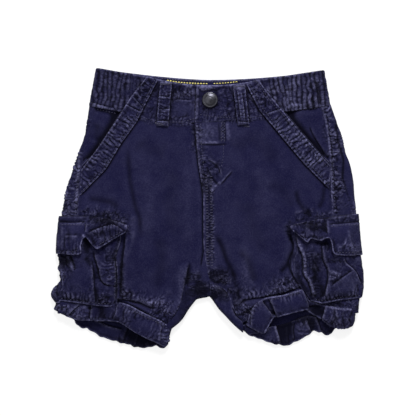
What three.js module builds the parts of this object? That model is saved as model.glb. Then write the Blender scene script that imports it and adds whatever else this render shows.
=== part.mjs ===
// Toddler cargo shorts laid flat on a table, front side up.
// Millimetres. +X is towards the wearer's left, +Y towards the waistband, +Z up out of the front.
// Every cloth piece is a sheet of points on the middle of its cloth, given a wall and closed round its rim.

import * as THREE from "three";

// ---- driving dimensions ---------------------------------------------------------------------------

const CLOTH = 1.2; // wall of a twill panel with its seam allowances
const BAND_WALL = 2.6; // wall of the waistband: two layers and what is between them
const CUFF_WALL = 2.2; // wall of the elastic hem
const SEAM_GAP = 0.3; // clearance between pieces that are sewn together
const LAYER = CLOTH + SEAM_GAP * 1.2; // from the middle of a panel to the middle of a layer on it
const ON_BAND = BAND_WALL / 2 + SEAM_GAP + CLOTH / 2; // the same, for a layer on the waistband

const STEPS = 2; // rows of a sheet between two sections of the table
const PANEL_COLUMNS = 6;
const BACK_COLUMNS = 4;
const STRIP_COLUMNS = 3;
const FOLD_COLUMNS = 5;

// Height of the middle of the front cloth above the table, by how far up the garment it is.
const FRONT_HEIGHTS = [
  { y: -126, z: 9.8 },
  { y: -96, z: 9.0 },
  { y: -76, z: 5.7 },
  { y: -30, z: 5.5 },
  { y: 20, z: 5.3 },
  { y: 80, z: 5.8 },
  { y: 128, z: 7.0 },
];
const DIP = { depth: 1.6, x: 58, width: 34, from: -95, full: -75 }; // mid-panel sinks towards the back
const SIDE_RISE = { height: 1.3, from: 95, full: 122, below: 0 }; // the sides stand up by the pockets

// The legs rest on the part of the cargo pockets and flaps that goes round to the back. It reaches this
// far under them, and past it the leg comes down to the table.
const UNDER = { reach: 14, end: 26 };

// One row for each cross-section of a half, from the waistband seam to the cuff seam. Each runs on the
// table side from inner to fold, round the fold, over the seam to the slant edge, and on to front.
const COLUMNS = [
  "name", "innerX", "innerY", "frontX", "frontY", "slantX", "slantY",
  "seamX", "seamY", "foldX", "foldY", "bow", "backBow",
];
const RIGHT_TABLE = [
  ["band seam", 0, 86, -13, 79, -79, 89, -104, 93.5, -109, 94, -4, -3],
  ["pocket upper", 0, 66, -12.5, 66, -93, 66.5, -109, 68, -113, 68.5, 0, 0],
  ["pocket lower", 0, 52, -11.3, 52, -103, 51.5, -114.5, 53, -118.5, 52.5, 0, 0],
  ["pocket end", 0, 36, -9.6, 36, -117.3, 35.5, -117.3, 35.5, -124.5, 35, 0, 0],
  ["band end", 0, 12, -6, 12, -118.6, 12, -118.6, 12, -131, 12, 0, 0],
  ["flap top", 0, -12, -5.6, -12, -119.5, -12, -119.5, -12, -134, -12, 0, 0],
  ["flap end", 0, -39, -5, -38, -120.5, -38, -120.5, -38, -136, -39, 0, 0],
  ["crotch", 0, -78, 0, -64, -121, -52, -121, -52, -135, -52, 3, 0],
  ["thigh", -7, -79.6, -12, -66.5, -121, -58, -121, -58, -134.5, -58, 4, 0],
  ["leg upper", -12, -81, -22, -71, -121.5, -64, -121.5, -64, -134.3, -64, 6, 0],
  ["leg middle", -17.5, -88, -25.5, -81, -122, -70, -122, -70, -136.5, -70, 8, -1],
  ["leg lower", -25, -99, -30.5, -92, -123, -77, -123, -77, -139.3, -77, 10, -3],
  ["cuff seam", -34.5, -107.5, -38.5, -102.5, -124, -83, -124, -83, -137.5, -84, 11.5, -5],
];
const LEFT_TABLE = [
  ["band seam", 0, 86, -13, 79, 66, 89, 100, 93, 109, 94.5, -2, -3],
  ["pocket upper", 0, 66, -12.5, 66, 85, 66.5, 105.5, 68, 118.5, 68, 0, 0],
  ["pocket lower", 0, 52, -11.3, 52, 97.5, 52, 107.8, 52, 122.5, 51.5, 0, 0],
  ["pocket end", 0, 37, -9.6, 37, 109, 38, 109, 38, 127, 37.5, 0, 0],
  ["band end", 0, 12, -6, 12, 110, 13.5, 110, 13.5, 129.5, 13, 0, 0],
  ["flap top", 0, -12, -5.6, -12, 111, -10, 111, -10, 131.5, -10, 0, 0],
  ["flap end", 0, -39, -5, -38, 112, -38, 112, -38, 134.5, -40, 0, 0],
  ["crotch", 0, -78, 0, -64, 113, -50, 113, -50, 136, -51, 0, 0],
  ["thigh", 4, -83.5, 7, -68, 114, -56, 114, -56, 137, -57, 4, 0],
  ["leg upper", 8.5, -90, 14, -72.5, 115, -62, 115, -62, 137, -62, 8, 0],
  ["leg middle", 14, -95.5, 17.5, -79, 116, -69, 116, -69, 137, -69, 10, -1],
  ["leg lower", 19, -101, 20, -86, 117, -76, 117, -76, 136, -76, 12, -4],
  ["cuff seam", 25, -106.5, 24, -94, 118, -83, 118, -83, 134, -83.5, 14, -7],
];
const POCKET_END = 3; // row where the slant edge meets the side seam
const FLAP_TOP = 5;
const FLAP_END = 6;
const CROTCH = 7; // first row that also wraps the inner leg
const CUFF_SEAM = 12;

// The hem edge of each cuff, front and back, from the inner leg to the outer side.
const RIGHT_HEM = {
  front: [[-42, -121.5], [-60, -113], [-76, -103.5], [-86, -99.5], [-108, -99], [-128, -95.5]],
  back: [[-43, -122.5], [-64, -124.5], [-82, -119.5], [-98, -114.5], [-114, -106], [-128, -96.5]],
};
const LEFT_HEM = {
  front: [[31.5, -103], [47, -110.5], [56, -98], [72, -92.5], [87, -89.5], [102, -98], [126, -104]],
  back: [[34, -110], [50, -117], [66, -123.5], [80, -118.5], [90, -112.5], [104, -111], [126, -105]],
};
const CUFF_ROWS = 4;
const CUFF_COLUMNS = 10;
const CUFF_PUFF = 1.4; // how far the gathered hem stands up between its edges

// Upper edges of the waistband: the back's y at the centre and its rise towards each side fold.
const BACK_TOP = { centre: 117, right: { rise: 10.4, power: 1.5 }, left: { rise: 8.4, power: 1.9 }, foldX: 103 };
const FRONT_TOP = { centre: 111.5, rise: 8.5, reach: 57 };
const FRONT_LAP_X = -11.7; // where the left front band ends over the right one
const SLANT_TOP = { right: [-57, 119.5], left: [43.6, 116.6] };
const BAND_ROWS = 3;
const BAND_COLUMNS = 12;

// Slant pocket bands: outer (opening) and inner edge from the waist down.
const SLANT_BANDS = {
  right: {
    outer: [[-57, 119.3], [-72, 100], [-82.4, 83], [-100, 56.6], [-115.6, 36]],
    inner: [[-47, 117.5], [-57, 98], [-66, 80], [-81, 59], [-94, 37], [-117, 13.5]],
  },
  left: {
    outer: [[43.8, 116.2], [56, 100], [68, 86], [90, 60], [108.2, 39.5]],
    inner: [[33, 112.7], [44.8, 90], [60, 72], [85, 42], [107.2, 19.5]],
  },
};
const SLANT_ROWS = 9;

const BELT_LOOPS = {
  right: { top: [-39.5, 114.6], bottom: [-43, 76], width: 10 },
  left: { top: [26, 112], bottom: [30.2, 77], width: 10 },
};
const LOOP_ARCH = 1.0; // how far a loop stands off the waistband at mid-height

// Cargo pockets: inner and pleat are mm over the front from the upper end of the side fold, wrap is mm
// under the leg, top and bottom are rows of the table. The face stands off the leg and the centre pleat
// sinks back.
const POCKETS = {
  right: { inner: 52, wrap: 12, top: 5.5, bottom: 12, pleat: 30, pleatWidth: 7, stand: 4.5 },
  left: { inner: 48, wrap: 12, top: 5.5, bottom: 11.5, pleat: 30, pleatWidth: 8, stand: 5.5 },
};
const POCKET_COLUMNS = 8;

// Cargo flaps: for each station from the side fold to the front edge, how far over the front it is, how
// far down the table its free edge hangs (in rows) and how far the free edge stands off the leg.
const FLAP_COLUMNS = ["across", "drop", "stand"];
const RIGHT_FLAP = [
  [0, 1.0, 3.4],
  [8, 1.0, 5.2],
  [16, 0.98, 6.6],
  [22, 0.8, 8.4],
  [26, 0.48, 9.6],
  [32, 0.66, 8.6],
  [38, 0.86, 7.8],
  [50, 0.5, 6.6],
  [60, 0.16, 5.4],
];
const LEFT_FLAP = [
  [0, 1.0, 3.4],
  [8, 1.0, 6.4],
  [20, 1.0, 7.6],
  [25, 0.8, 9.0],
  [29, 0.46, 10.0],
  [36, 0.6, 9.2],
  [44, 0.58, 8.4],
  [50, 0.66, 7.4],
  [58, 0.3, 6.0],
];
const FLAP_ROWS = 4;
const FLAP_SEAT = LAYER * 2; // from the middle of a panel to a flap over a pocket on it

const SNAP = { x: 0, y: 99, radius: 7, rim: 1.4, dome: 2.6, sides: 16 };

const COLOURS = { navy: 0x24233f, darkNavy: 0x1f1e38, metal: 0x4a4a50 };

// ---- small helpers --------------------------------------------------------------------------------

const lerp = (a, b, t) => a + (b - a) * t;
const mix2 = (a, b, t) => [lerp(a[0], b[0], t), lerp(a[1], b[1], t)];
const smooth = (t) => t * t * (3 - 2 * t);
const ramp = (from, to, value) => smooth(Math.min(1, Math.max(0, (value - from) / (to - from))));
const steps = (count) => Array.from({ length: count + 1 }, (_, i) => i / count);

function unit2(from, to) {
  const length = Math.hypot(to[0] - from[0], to[1] - from[1]);
  return [(to[0] - from[0]) / length, (to[1] - from[1]) / length];
}

// Point at fraction t of the length of a line through the given plan points.
function along(line, t) {
  const lengths = line.slice(1).map((p, i) => Math.hypot(p[0] - line[i][0], p[1] - line[i][1]));
  let rest = t * lengths.reduce((sum, length) => sum + length, 0);
  for (let i = 0; i < lengths.length; i += 1) {
    if (rest <= lengths[i] || i === lengths.length - 1) {
      return mix2(line[i], line[i + 1], rest / lengths[i]);
    }
    rest -= lengths[i];
  }
  return line[line.length - 1];
}

function named(columns, table) {
  return table.map((row) => Object.fromEntries(columns.map((column, i) => [column, row[i]])));
}

// ---- heights --------------------------------------------------------------------------------------

function frontHeight(x, y) {
  const index = FRONT_HEIGHTS.findIndex((step) => y <= step.y);
  const upper = FRONT_HEIGHTS[Math.max(1, index)];
  const lower = FRONT_HEIGHTS[Math.max(1, index) - 1];
  const level = lerp(lower.z, upper.z, ramp(lower.y, upper.y, y));
  const across = (Math.abs(x) - DIP.x) / DIP.width;
  const dip = DIP.depth * Math.exp(-across * across) * ramp(DIP.from, DIP.full, y);
  const side = ramp(SIDE_RISE.from, SIDE_RISE.full, Math.abs(x));
  return level - dip + SIDE_RISE.height * side * (1 - ramp(SIDE_RISE.below, SIDE_RISE.below + 20, y));
}

// How far a leg is lifted by the layers under it, in row v and this far in from the side fold.
function underLift(v, inset) {
  const onPocket = ramp(FLAP_TOP - 1, FLAP_TOP, v);
  const onFlap = onPocket * (1 - ramp(FLAP_END, FLAP_END + 1, v));
  return LAYER * (onPocket + onFlap) * (1 - ramp(UNDER.reach, UNDER.end, inset));
}

// ---- cross-sections -------------------------------------------------------------------------------

// A section between the table's rows, on a smooth curve through them. The centre and inner leg turn a
// corner at the crotch, so the curve stops there.
function sectionAt(table, v) {
  const i = Math.min(table.length - 2, Math.floor(v));
  const t = v - i;
  const cornered = i < CROTCH ? [0, CROTCH] : [CROTCH, table.length - 1];
  const value = (column, [first, last] = [0, table.length - 1]) => {
    const at = (k) => table[Math.min(last, Math.max(first, k))][column];
    const [a, b, c, d] = [at(i - 1), at(i), at(i + 1), at(i + 2)];
    return 0.5 * (2 * b + (c - a) * t + (2 * a - 5 * b + 4 * c - d) * t * t + (3 * b - a - 3 * c + d) * t ** 3);
  };
  const point = (key) => {
    const range = key === "inner" || key === "front" ? cornered : undefined;
    return [value(`${key}X`, range), value(`${key}Y`, range)];
  };
  const section = { v, inner: point("inner"), front: point("front"), slant: point("slant") };
  section.seam = point("seam");
  section.fold = point("fold");
  section.bow = value("bow");
  section.backBow = value("backBow");
  return section;
}

// Point between two plan points, bowed towards the waist in the middle.
function bowed(from, to, bow, t) {
  const [x, y] = mix2(from, to, t);
  return [x, y + bow * Math.sin(Math.PI * t)];
}

// The turn of cloth at a fold: its radius, the way it points and where it starts.
function turnAt(tip, from, wall, lift = 0) {
  const out = unit2(from, tip);
  const low = wall / 2 + lift;
  const high = frontHeight(tip[0], tip[1]);
  const radius = (high - low) / 2;
  const edge = [tip[0] - out[0] * wall / 2, tip[1] - out[1] * wall / 2];
  const start = [edge[0] - out[0] * radius, edge[1] - out[1] * radius];
  return { out, low, high, radius, start };
}

// A point on a turn: 0 is its lower end, 1 its upper end.
function onTurn(turn, t, lift = 0) {
  const angle = Math.PI * (t - 0.5);
  const reach = (turn.radius + lift) * Math.cos(angle);
  return new THREE.Vector3(
    turn.start[0] + turn.out[0] * reach,
    turn.start[1] + turn.out[1] * reach,
    (turn.low + turn.high) / 2 + (turn.radius + lift) * Math.sin(angle),
  );
}

const onFront = ([x, y], lift = 0) => new THREE.Vector3(x, y, frontHeight(x, y) + lift);
const onTable = ([x, y], wall = CLOTH, lift = 0) => new THREE.Vector3(x, y, wall / 2 + lift);

// The side seam may not lie on the turn itself.
function sideOf(section) {
  const turn = turnAt(section.fold, section.seam, CLOTH, underLift(section.v, 0));
  const reach = Math.hypot(section.fold[0] - section.seam[0], section.fold[1] - section.seam[1]);
  const least = turn.radius + CLOTH / 2 + 1;
  const seam = reach > least
    ? section.seam
    : [section.fold[0] - turn.out[0] * least, section.fold[1] - turn.out[1] * least];
  return { turn, seam };
}

function rowsOf(table, from, to) {
  return steps((to - from) * STEPS).map((t) => sectionAt(table, lerp(from, to, t)));
}

// Plan points moved off each other by half a seam gap along their line.
function parted(from, to) {
  const way = unit2(from, to);
  const half = SEAM_GAP * 0.8;
  return [
    [from[0] + way[0] * half, from[1] + way[1] * half],
    [to[0] - way[0] * half, to[1] - way[1] * half],
  ];
}

// ---- sheets ---------------------------------------------------------------------------------------

// Closes sheets of points (grids of rows) into one solid with a wall. Grids that share points are joined.
function closedSheet(grids, wall) {
  const points = [];
  const index = new Map();
  const quads = [];
  const number = (p) => {
    const key = [p.x, p.y, p.z].map((value) => Math.round(value * 1000)).join(" ");
    if (!index.has(key)) {
      index.set(key, points.length);
      points.push(p);
    }
    return index.get(key);
  };
  for (const grid of grids) {
    for (let r = 0; r + 1 < grid.length; r += 1) {
      for (let c = 0; c + 1 < grid[r].length; c += 1) {
        quads.push([grid[r][c], grid[r][c + 1], grid[r + 1][c + 1], grid[r + 1][c]].map(number));
      }
    }
  }

  const normals = points.map(() => new THREE.Vector3());
  for (const [a, b, c, d] of quads) {
    const first = points[c].clone().sub(points[a]);
    const second = points[d].clone().sub(points[b]);
    const normal = first.cross(second).normalize();
    [a, b, c, d].forEach((i) => normals[i].add(normal));
  }
  normals.forEach((normal) => normal.normalize().multiplyScalar(wall / 2));

  const count = points.length;
  const positions = [];
  for (const sign of [1, -1]) {
    points.forEach((p, i) => {
      const q = p.clone().addScaledVector(normals[i], sign);
      positions.push(q.x, q.y, q.z);
    });
  }

  const triangles = [];
  const edges = new Map();
  for (const quad of quads) {
    const ring = quad.filter((i, k) => i !== quad[(k + 1) % 4]);
    for (let k = 1; k + 1 < ring.length; k += 1) {
      triangles.push(ring[0], ring[k], ring[k + 1]);
      triangles.push(count + ring[0], count + ring[k + 1], count + ring[k]);
    }
    ring.forEach((a, k) => edges.set(`${a} ${ring[(k + 1) % ring.length]}`, [a, ring[(k + 1) % ring.length]]));
  }
  for (const [a, b] of edges.values()) {
    if (!edges.has(`${b} ${a}`)) {
      triangles.push(b, a, count + a, b, count + a, count + b);
    }
  }
  return solid(positions, triangles);
}

// Geometry with its faces turned out.
function solid(positions, triangles) {
  const at = (i) => new THREE.Vector3().fromArray(positions, 3 * i);
  let volume = 0;
  for (let i = 0; i < triangles.length; i += 3) {
    volume += at(triangles[i]).dot(at(triangles[i + 1]).cross(at(triangles[i + 2])));
  }
  if (volume < 0) {
    triangles.reverse();
  }
  const geometry = new THREE.BufferGeometry();
  geometry.setAttribute("position", new THREE.Float32BufferAttribute(positions, 3));
  geometry.setIndex(triangles);
  geometry.computeVertexNormals();
  return geometry;
}

// ---- panels ---------------------------------------------------------------------------------------

function frontPanel(table) {
  return closedSheet([rowsOf(table, 0, CUFF_SEAM).map((section) => {
    const outer = section.v < POCKET_END ? section.slant : sideOf(section).seam;
    const [from, to] = parted(section.front, outer);
    return steps(PANEL_COLUMNS).map((t) => onFront(bowed(from, to, section.bow, t)));
  })], CLOTH);
}

function hipPocket(table) {
  return closedSheet([steps(STEPS * 3).map((t) => {
    const section = sectionAt(table, t * (POCKET_END - 0.2));
    const [from, to] = parted(section.slant, sideOf(section).seam);
    return steps(2).map((s) => onFront(mix2(from, to, s)));
  })], CLOTH);
}

// The back panel lies on the table and wraps the side up to the side seam. From the crotch down it also
// wraps the inner leg up to the inseam.
function backPanel(table, side) {
  const centre = (p) => (Math.abs(p[0]) < SEAM_GAP * 2 ? [side * SEAM_GAP * 1.7, p[1]] : p);
  const innerTurn = (section) => turnAt(centre(section.inner), centre(section.front), CLOTH);

  const main = rowsOf(table, 0, CUFF_SEAM).map((section) => {
    const { turn, seam } = sideOf(section);
    const from = section.v < CROTCH ? centre(section.inner) : innerTurn(section).start;
    const [, top] = parted(turn.start, seam);
    const width = Math.hypot(turn.start[0] - from[0], turn.start[1] - from[1]);
    const insets = [...steps(BACK_COLUMNS).map((t) => lerp(width, UNDER.end, t)), UNDER.reach, 0];
    return [
      ...insets.map((inset) => {
        const point = bowed(from, turn.start, section.backBow, 1 - inset / width);
        return onTable(point, CLOTH, underLift(section.v, inset));
      }),
      ...steps(FOLD_COLUMNS).slice(1, -1).map((t) => onTurn(turn, t)),
      ...steps(STRIP_COLUMNS - 1).map((t) => onFront(mix2(turn.start, top, t))),
    ];
  });
  const wrap = rowsOf(table, CROTCH, CUFF_SEAM).map((section) => {
    const turn = innerTurn(section);
    const [seam] = parted(centre(section.front), turn.start);
    return [
      ...steps(2).map((t) => onFront(mix2(seam, turn.start, t))),
      ...steps(FOLD_COLUMNS).slice(1, -1).reverse().map((t) => onTurn(turn, t)),
      onTable(turn.start),
    ];
  });
  return closedSheet([main, wrap], CLOTH);
}

// ---- waistband ------------------------------------------------------------------------------------

const frontTop = (x) => FRONT_TOP.centre + FRONT_TOP.rise * (x / FRONT_TOP.reach) ** 2;
const backTop = (x) => {
  const { rise, power } = x < 0 ? BACK_TOP.right : BACK_TOP.left;
  return BACK_TOP.centre + rise * Math.abs(x / BACK_TOP.foldX) ** power;
};
const raised = ([x, y]) => [x, y + SEAM_GAP * 1.8];

function frontBand(table, slantTop, lapX) {
  const seam = sectionAt(table, 0);
  const [low, lowEnd] = parted(seam.front, seam.slant);
  const [high, highEnd] = parted([lapX, frontTop(lapX)], slantTop);
  const columns = steps(7);
  return closedSheet([steps(BAND_ROWS).map((f) => columns.map((t) => {
    const x = lerp(high[0], highEnd[0], t);
    const bottom = raised(bowed(low, lowEnd, seam.bow, t));
    return onFront(mix2([x, Math.min(frontTop(x), slantTop[1])], bottom, f));
  }))], BAND_WALL);
}

// From the right slant band round the right side, along the table and up to the left slant band.
function backBand() {
  const half = (table, side, f) => {
    const seam = sectionAt(table, 0);
    const foldTop = [side * BACK_TOP.foldX, backTop(side * BACK_TOP.foldX)];
    const fold = mix2(foldTop, raised(seam.fold), f);
    const slant = mix2(SLANT_TOP[side < 0 ? "right" : "left"], raised(seam.slant), f);
    const turn = turnAt(fold, slant, BAND_WALL);
    const [start] = parted(slant, turn.start);
    const top = steps(3).map((t) => onFront(mix2(start, turn.start, t)));
    const round = steps(FOLD_COLUMNS).slice(1, -1).reverse().map((t) => onTurn(turn, t));
    const under = steps(BAND_COLUMNS / 2).map((t) => {
      const edge = [lerp(turn.start[0], 0, t), 0];
      edge[1] = backTop(edge[0]);
      return onTable(mix2(edge, raised(bowed(turn.start, seam.inner, seam.backBow, t)), f), BAND_WALL);
    });
    under[0] = onTable(turn.start, BAND_WALL);
    return [...top, ...round, ...under];
  };
  return closedSheet([steps(BAND_ROWS).map((f) => {
    const right = half(tables.right, -1, f);
    const left = half(tables.left, 1, f);
    return [...right, ...left.slice(0, -1).reverse()];
  })], BAND_WALL);
}

// ---- cuffs ----------------------------------------------------------------------------------------

// A closed ring through a front line and a back line, turned round at both ends.
function ring(front, back, puff, lift, outerWay, innerWay) {
  const high = steps(CUFF_COLUMNS).map((t) => onFront(along(front, t), puff * Math.sin(Math.PI * t)));
  const low = steps(CUFF_COLUMNS).map((t) => {
    return onTable(along(back, t), CUFF_WALL, lift * ramp(1 - 2 / CUFF_COLUMNS, 1, t));
  }).reverse();
  const turn = (a, b, out) => {
    const middle = a.clone().add(b).multiplyScalar(0.5);
    const arm = a.clone().sub(b).multiplyScalar(0.5);
    const reach = new THREE.Vector3(out[0], out[1], 0).multiplyScalar((a.z - b.z) / 2);
    return steps(FOLD_COLUMNS).slice(1, -1).map((t) => {
      const angle = Math.PI * t;
      return middle.clone().addScaledVector(arm, Math.cos(angle)).addScaledVector(reach, Math.sin(angle));
    });
  };
  const outer = turn(high[CUFF_COLUMNS], low[0], outerWay);
  const inner = turn(high[0], low[CUFF_COLUMNS], innerWay).reverse();
  return [...high, ...outer, ...low, ...inner, high[0]];
}

function cuff(table, hem) {
  const section = sectionAt(table, CUFF_SEAM);
  const { turn, seam } = sideOf(section);
  const innerTurn = turnAt(section.inner, section.front, CLOTH);
  const seamFront = [
    innerTurn.start,
    ...steps(6).map((t) => bowed(section.front, seam, section.bow, t)),
    turn.start,
  ];
  const seamBack = steps(6).map((t) => bowed(innerTurn.start, turn.start, section.backBow, t));
  const hemOuter = unit2(hem.front[hem.front.length - 2], hem.front[hem.front.length - 1]);
  const hemInner = unit2(hem.front[1], hem.front[0]);
  const rings = steps(CUFF_ROWS).map((f) => {
    const line = (upper, lower) => steps(CUFF_COLUMNS).map((t) => mix2(along(upper, t), along(lower, t), f));
    const puff = CUFF_PUFF * Math.sin(Math.PI * f);
    const lift = underLift(CUFF_SEAM, 0) * (1 - f);
    return ring(
      line(seamFront, hem.front), line(seamBack, hem.back), puff, lift,
      mix2(turn.out, hemOuter, f), mix2(innerTurn.out, hemInner, f),
    );
  });
  // The seam edge of the cuff stops short of the panels, and more so at the inner leg, where it turns.
  const innerLeg = rings[0].length - FOLD_COLUMNS - 1;
  rings[0] = rings[0].map((p, i) => {
    const way = rings[1][i].clone().sub(p);
    const gap = Math.min(SEAM_GAP * (i === 0 || i >= innerLeg ? 4 : 2.2), way.length() * 0.9);
    return p.clone().addScaledVector(way, gap / way.length());
  });
  return closedSheet([rings], CUFF_WALL);
}

// ---- pieces that lie on the panels ----------------------------------------------------------------

// How far the middle of an added layer stands off the middle of what is under it. The waistband is
// thicker than the panels, so a layer that crosses its seam comes down below it.
function overSeam(y, seamY) {
  return lerp(LAYER, ON_BAND + 0.1, ramp(seamY - 12, seamY - 4, y));
}

function slantBand(edges, seamY) {
  return closedSheet([steps(SLANT_ROWS).map((t) => {
    const outer = along(edges.outer, t);
    const inner = along(edges.inner, t);
    return steps(3).map((s) => {
      const [x, y] = mix2(outer, inner, s);
      return onFront([x, y], overSeam(y, seamY));
    });
  })], CLOTH);
}

function beltLoop({ top, bottom, width }, seamY) {
  const way = unit2(bottom, top);
  const across = [way[1] * width / 2, -way[0] * width / 2];
  return closedSheet([steps(9).map((t) => {
    const [x, y] = mix2(top, bottom, t);
    const lift = overSeam(y, seamY) + LOOP_ARCH * Math.sin(Math.PI * t);
    return [-1, 0, 1].map((s) => onFront([x + across[0] * s, y + across[1] * s], lift));
  })], CLOTH);
}

// Points round the side of a leg in one row: over the front from the inner edge to the side fold, round
// the fold, and under the leg. stand(across) says how far the layer stands off the panel over the front,
// and seat how far elsewhere.
function roundSide(table, v, overFront, wrap, seat, stand) {
  const section = sectionAt(table, v);
  const { turn, seam } = sideOf(section);
  const line = [turn.start, ...steps(12).map((t) => bowed(seam, section.front, section.bow, t))];
  const length = line.slice(1).reduce((sum, p, i) => sum + Math.hypot(p[0] - line[i][0], p[1] - line[i][1]), 0);
  const under = [UNDER.reach, wrap / 2].map((inset) => Math.min(inset, wrap)).reverse();
  return [
    ...overFront.map((across) => onFront(along(line, across / length), stand(across))),
    ...steps(FOLD_COLUMNS).slice(1).reverse().slice(1).map((t) => onTurn(turn, t, seat)),
    ...[0, ...under].map((inset) => {
      const point = [turn.start[0] - turn.out[0] * inset, turn.start[1] - turn.out[1] * inset];
      return onTable(point, CLOTH, underLift(v, inset) - seat);
    }),
  ];
}

function cargoPocket(table, pocket) {
  const { inner, wrap, top, bottom, pleat, pleatWidth, stand } = pocket;
  return closedSheet([steps((bottom - top) * STEPS).map((g) => {
    const v = lerp(top, bottom, g);
    const overFront = steps(POCKET_COLUMNS).map((t) => lerp(inner, 0, t));
    return roundSide(table, v, overFront, wrap, LAYER, (across) => {
      const edge = Math.min(1 - ramp(0.85, 1, g), ramp(inner, inner - 6, across), ramp(0, 14, across));
      const fromPleat = (across - pleat) / pleatWidth;
      const sunk = 1 - 0.75 * Math.exp(-fromPleat * fromPleat) * ramp(0, 0.2, g);
      return LAYER + stand * edge * sunk;
    });
  })], CLOTH);
}

// The flap is sewn on above the pocket and lies on it. Its stations come down to different rows.
function cargoFlap(table, stations, pocket) {
  const grid = steps(FLAP_ROWS).map((g) => {
    const columns = stations.map((station) => {
      const v = FLAP_TOP + station.drop * g;
      const face = pocket.stand * ramp(0, 0.5, g) * ramp(-2, 9, station.across);
      const stand = FLAP_SEAT + Math.max(face, (station.stand - FLAP_SEAT) * g);
      return roundSide(table, v, [station.across], pocket.wrap, FLAP_SEAT, () => stand);
    });
    const round = columns[0];
    return [...columns.slice(1).reverse().map((column) => column[0]), ...round];
  });
  return closedSheet([grid], CLOTH);
}

// ---- snap -----------------------------------------------------------------------------------------

function snapCap() {
  const { radius, rim, dome, sides } = SNAP;
  const profile = [
    [0, 0], [radius - 0.6, 0], [radius, 0.5], [radius, rim], [radius - 0.7, rim + 0.5],
    [radius - 1.6, rim + 0.2], [radius * 0.6, dome - 0.3], [radius * 0.3, dome], [0, dome + 0.1],
  ];
  const geometry = new THREE.LatheGeometry(profile.map(([r, z]) => new THREE.Vector2(r, z)), sides);
  geometry.rotateX(Math.PI / 2);
  return geometry;
}

// ---- the garment ----------------------------------------------------------------------------------

const tables = { right: named(COLUMNS, RIGHT_TABLE), left: named(COLUMNS, LEFT_TABLE) };
const flaps = { right: named(FLAP_COLUMNS, RIGHT_FLAP), left: named(FLAP_COLUMNS, LEFT_FLAP) };
const hems = { right: RIGHT_HEM, left: LEFT_HEM };

const twill = new THREE.MeshStandardMaterial({ color: COLOURS.navy, roughness: 0.9, metalness: 0 });
const gathered = new THREE.MeshStandardMaterial({ color: COLOURS.darkNavy, roughness: 0.92, metalness: 0 });
const metal = new THREE.MeshStandardMaterial({ color: COLOURS.metal, roughness: 0.35, metalness: 1 });

const garment = new THREE.Group();
function piece(name, geometry, material) {
  const mesh = new THREE.Mesh(geometry, material);
  mesh.name = name;
  garment.add(mesh);
  return mesh;
}

for (const [name, side] of [["right", -1], ["left", 1]]) {
  const table = tables[name];
  const seamY = table[0].slantY;
  const loopSeamY = table[0].frontY + 3;
  piece(`front_${name}`, frontPanel(table), twill);
  piece(`back_${name}`, backPanel(table, side), twill);
  piece(`hip_pocket_${name}`, hipPocket(table), twill);
  piece(`slant_band_${name}`, slantBand(SLANT_BANDS[name], seamY), twill);
  piece(`waistband_front_${name}`, frontBand(table, SLANT_TOP[name], FRONT_LAP_X), twill);
  piece(`belt_loop_${name}`, beltLoop(BELT_LOOPS[name], loopSeamY), twill);
  piece(`cargo_pocket_${name}`, cargoPocket(table, POCKETS[name]), twill);
  piece(`cargo_flap_${name}`, cargoFlap(table, flaps[name], POCKETS[name]), twill);
  piece(`cuff_${name}`, cuff(table, hems[name]), gathered);
}
piece("waistband_back", backBand(), gathered);

const snap = piece("snap_cap", snapCap(), metal);
snap.position.set(SNAP.x, SNAP.y, frontHeight(SNAP.x, SNAP.y) + BAND_WALL / 2 + SEAM_GAP);

// The origin is the middle of the underside of the whole garment's box.
garment.updateMatrixWorld(true);
const box = new THREE.Box3().setFromObject(garment);
const middle = box.getCenter(new THREE.Vector3());
garment.position.set(-middle.x, -middle.y, -box.min.z);
garment.updateMatrixWorld(true);

export default garment;
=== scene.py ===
"""Toddler cargo shorts laid flat: the looks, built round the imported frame."""
import math
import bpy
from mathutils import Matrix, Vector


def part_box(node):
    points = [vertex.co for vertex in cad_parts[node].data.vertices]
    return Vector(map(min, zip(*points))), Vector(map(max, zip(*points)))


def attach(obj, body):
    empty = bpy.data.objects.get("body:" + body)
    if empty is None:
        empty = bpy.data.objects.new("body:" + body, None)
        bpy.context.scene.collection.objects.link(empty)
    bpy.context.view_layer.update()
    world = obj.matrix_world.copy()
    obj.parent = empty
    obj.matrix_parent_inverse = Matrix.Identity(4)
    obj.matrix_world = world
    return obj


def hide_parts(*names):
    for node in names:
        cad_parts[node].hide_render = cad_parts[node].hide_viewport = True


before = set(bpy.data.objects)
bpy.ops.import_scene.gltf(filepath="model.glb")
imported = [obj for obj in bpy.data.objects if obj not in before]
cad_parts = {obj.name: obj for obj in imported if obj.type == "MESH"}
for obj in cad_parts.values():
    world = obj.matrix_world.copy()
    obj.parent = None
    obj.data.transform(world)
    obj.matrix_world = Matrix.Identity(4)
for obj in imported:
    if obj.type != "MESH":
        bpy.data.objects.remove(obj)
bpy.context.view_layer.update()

from types import SimpleNamespace

import bpy
import numpy as np
from mathutils import Vector
from mathutils.bvhtree import BVHTree

# ---- sizes, in millimetres in the garment's own plan: +X wearer's left, +Y up to the waist ---------

MM = 0.001
CLOTH = 1.1  # twill with its seam allowances
BAND_WALL = 2.4  # waistband, two layers and what is between them
CUFF_WALL = 1.7  # elastic hem
LAYER = 1.56  # from the middle of a panel to the middle of a layer on it
ON_BAND = 2.3  # the same, for a layer on the waistband
RIM = 0.34  # how far the rounded edge of a sheet stands out, as a share of its wall
MESH = 0.9  # spacing of the points of a large sheet
FINE = 0.56  # spacing on small pieces
OFF_TABLE = 0.03  # how far the lowest cloth stays above the table
BAND_ROWS = np.linspace(0, 1, int(34 / FINE))  # down the waistband, from its top to its seam
LOOKS = ("wear", "dark", "rumpled")  # what the cloth's material reads at each point

SNAP_AT = (0.0, 99.0)

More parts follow.
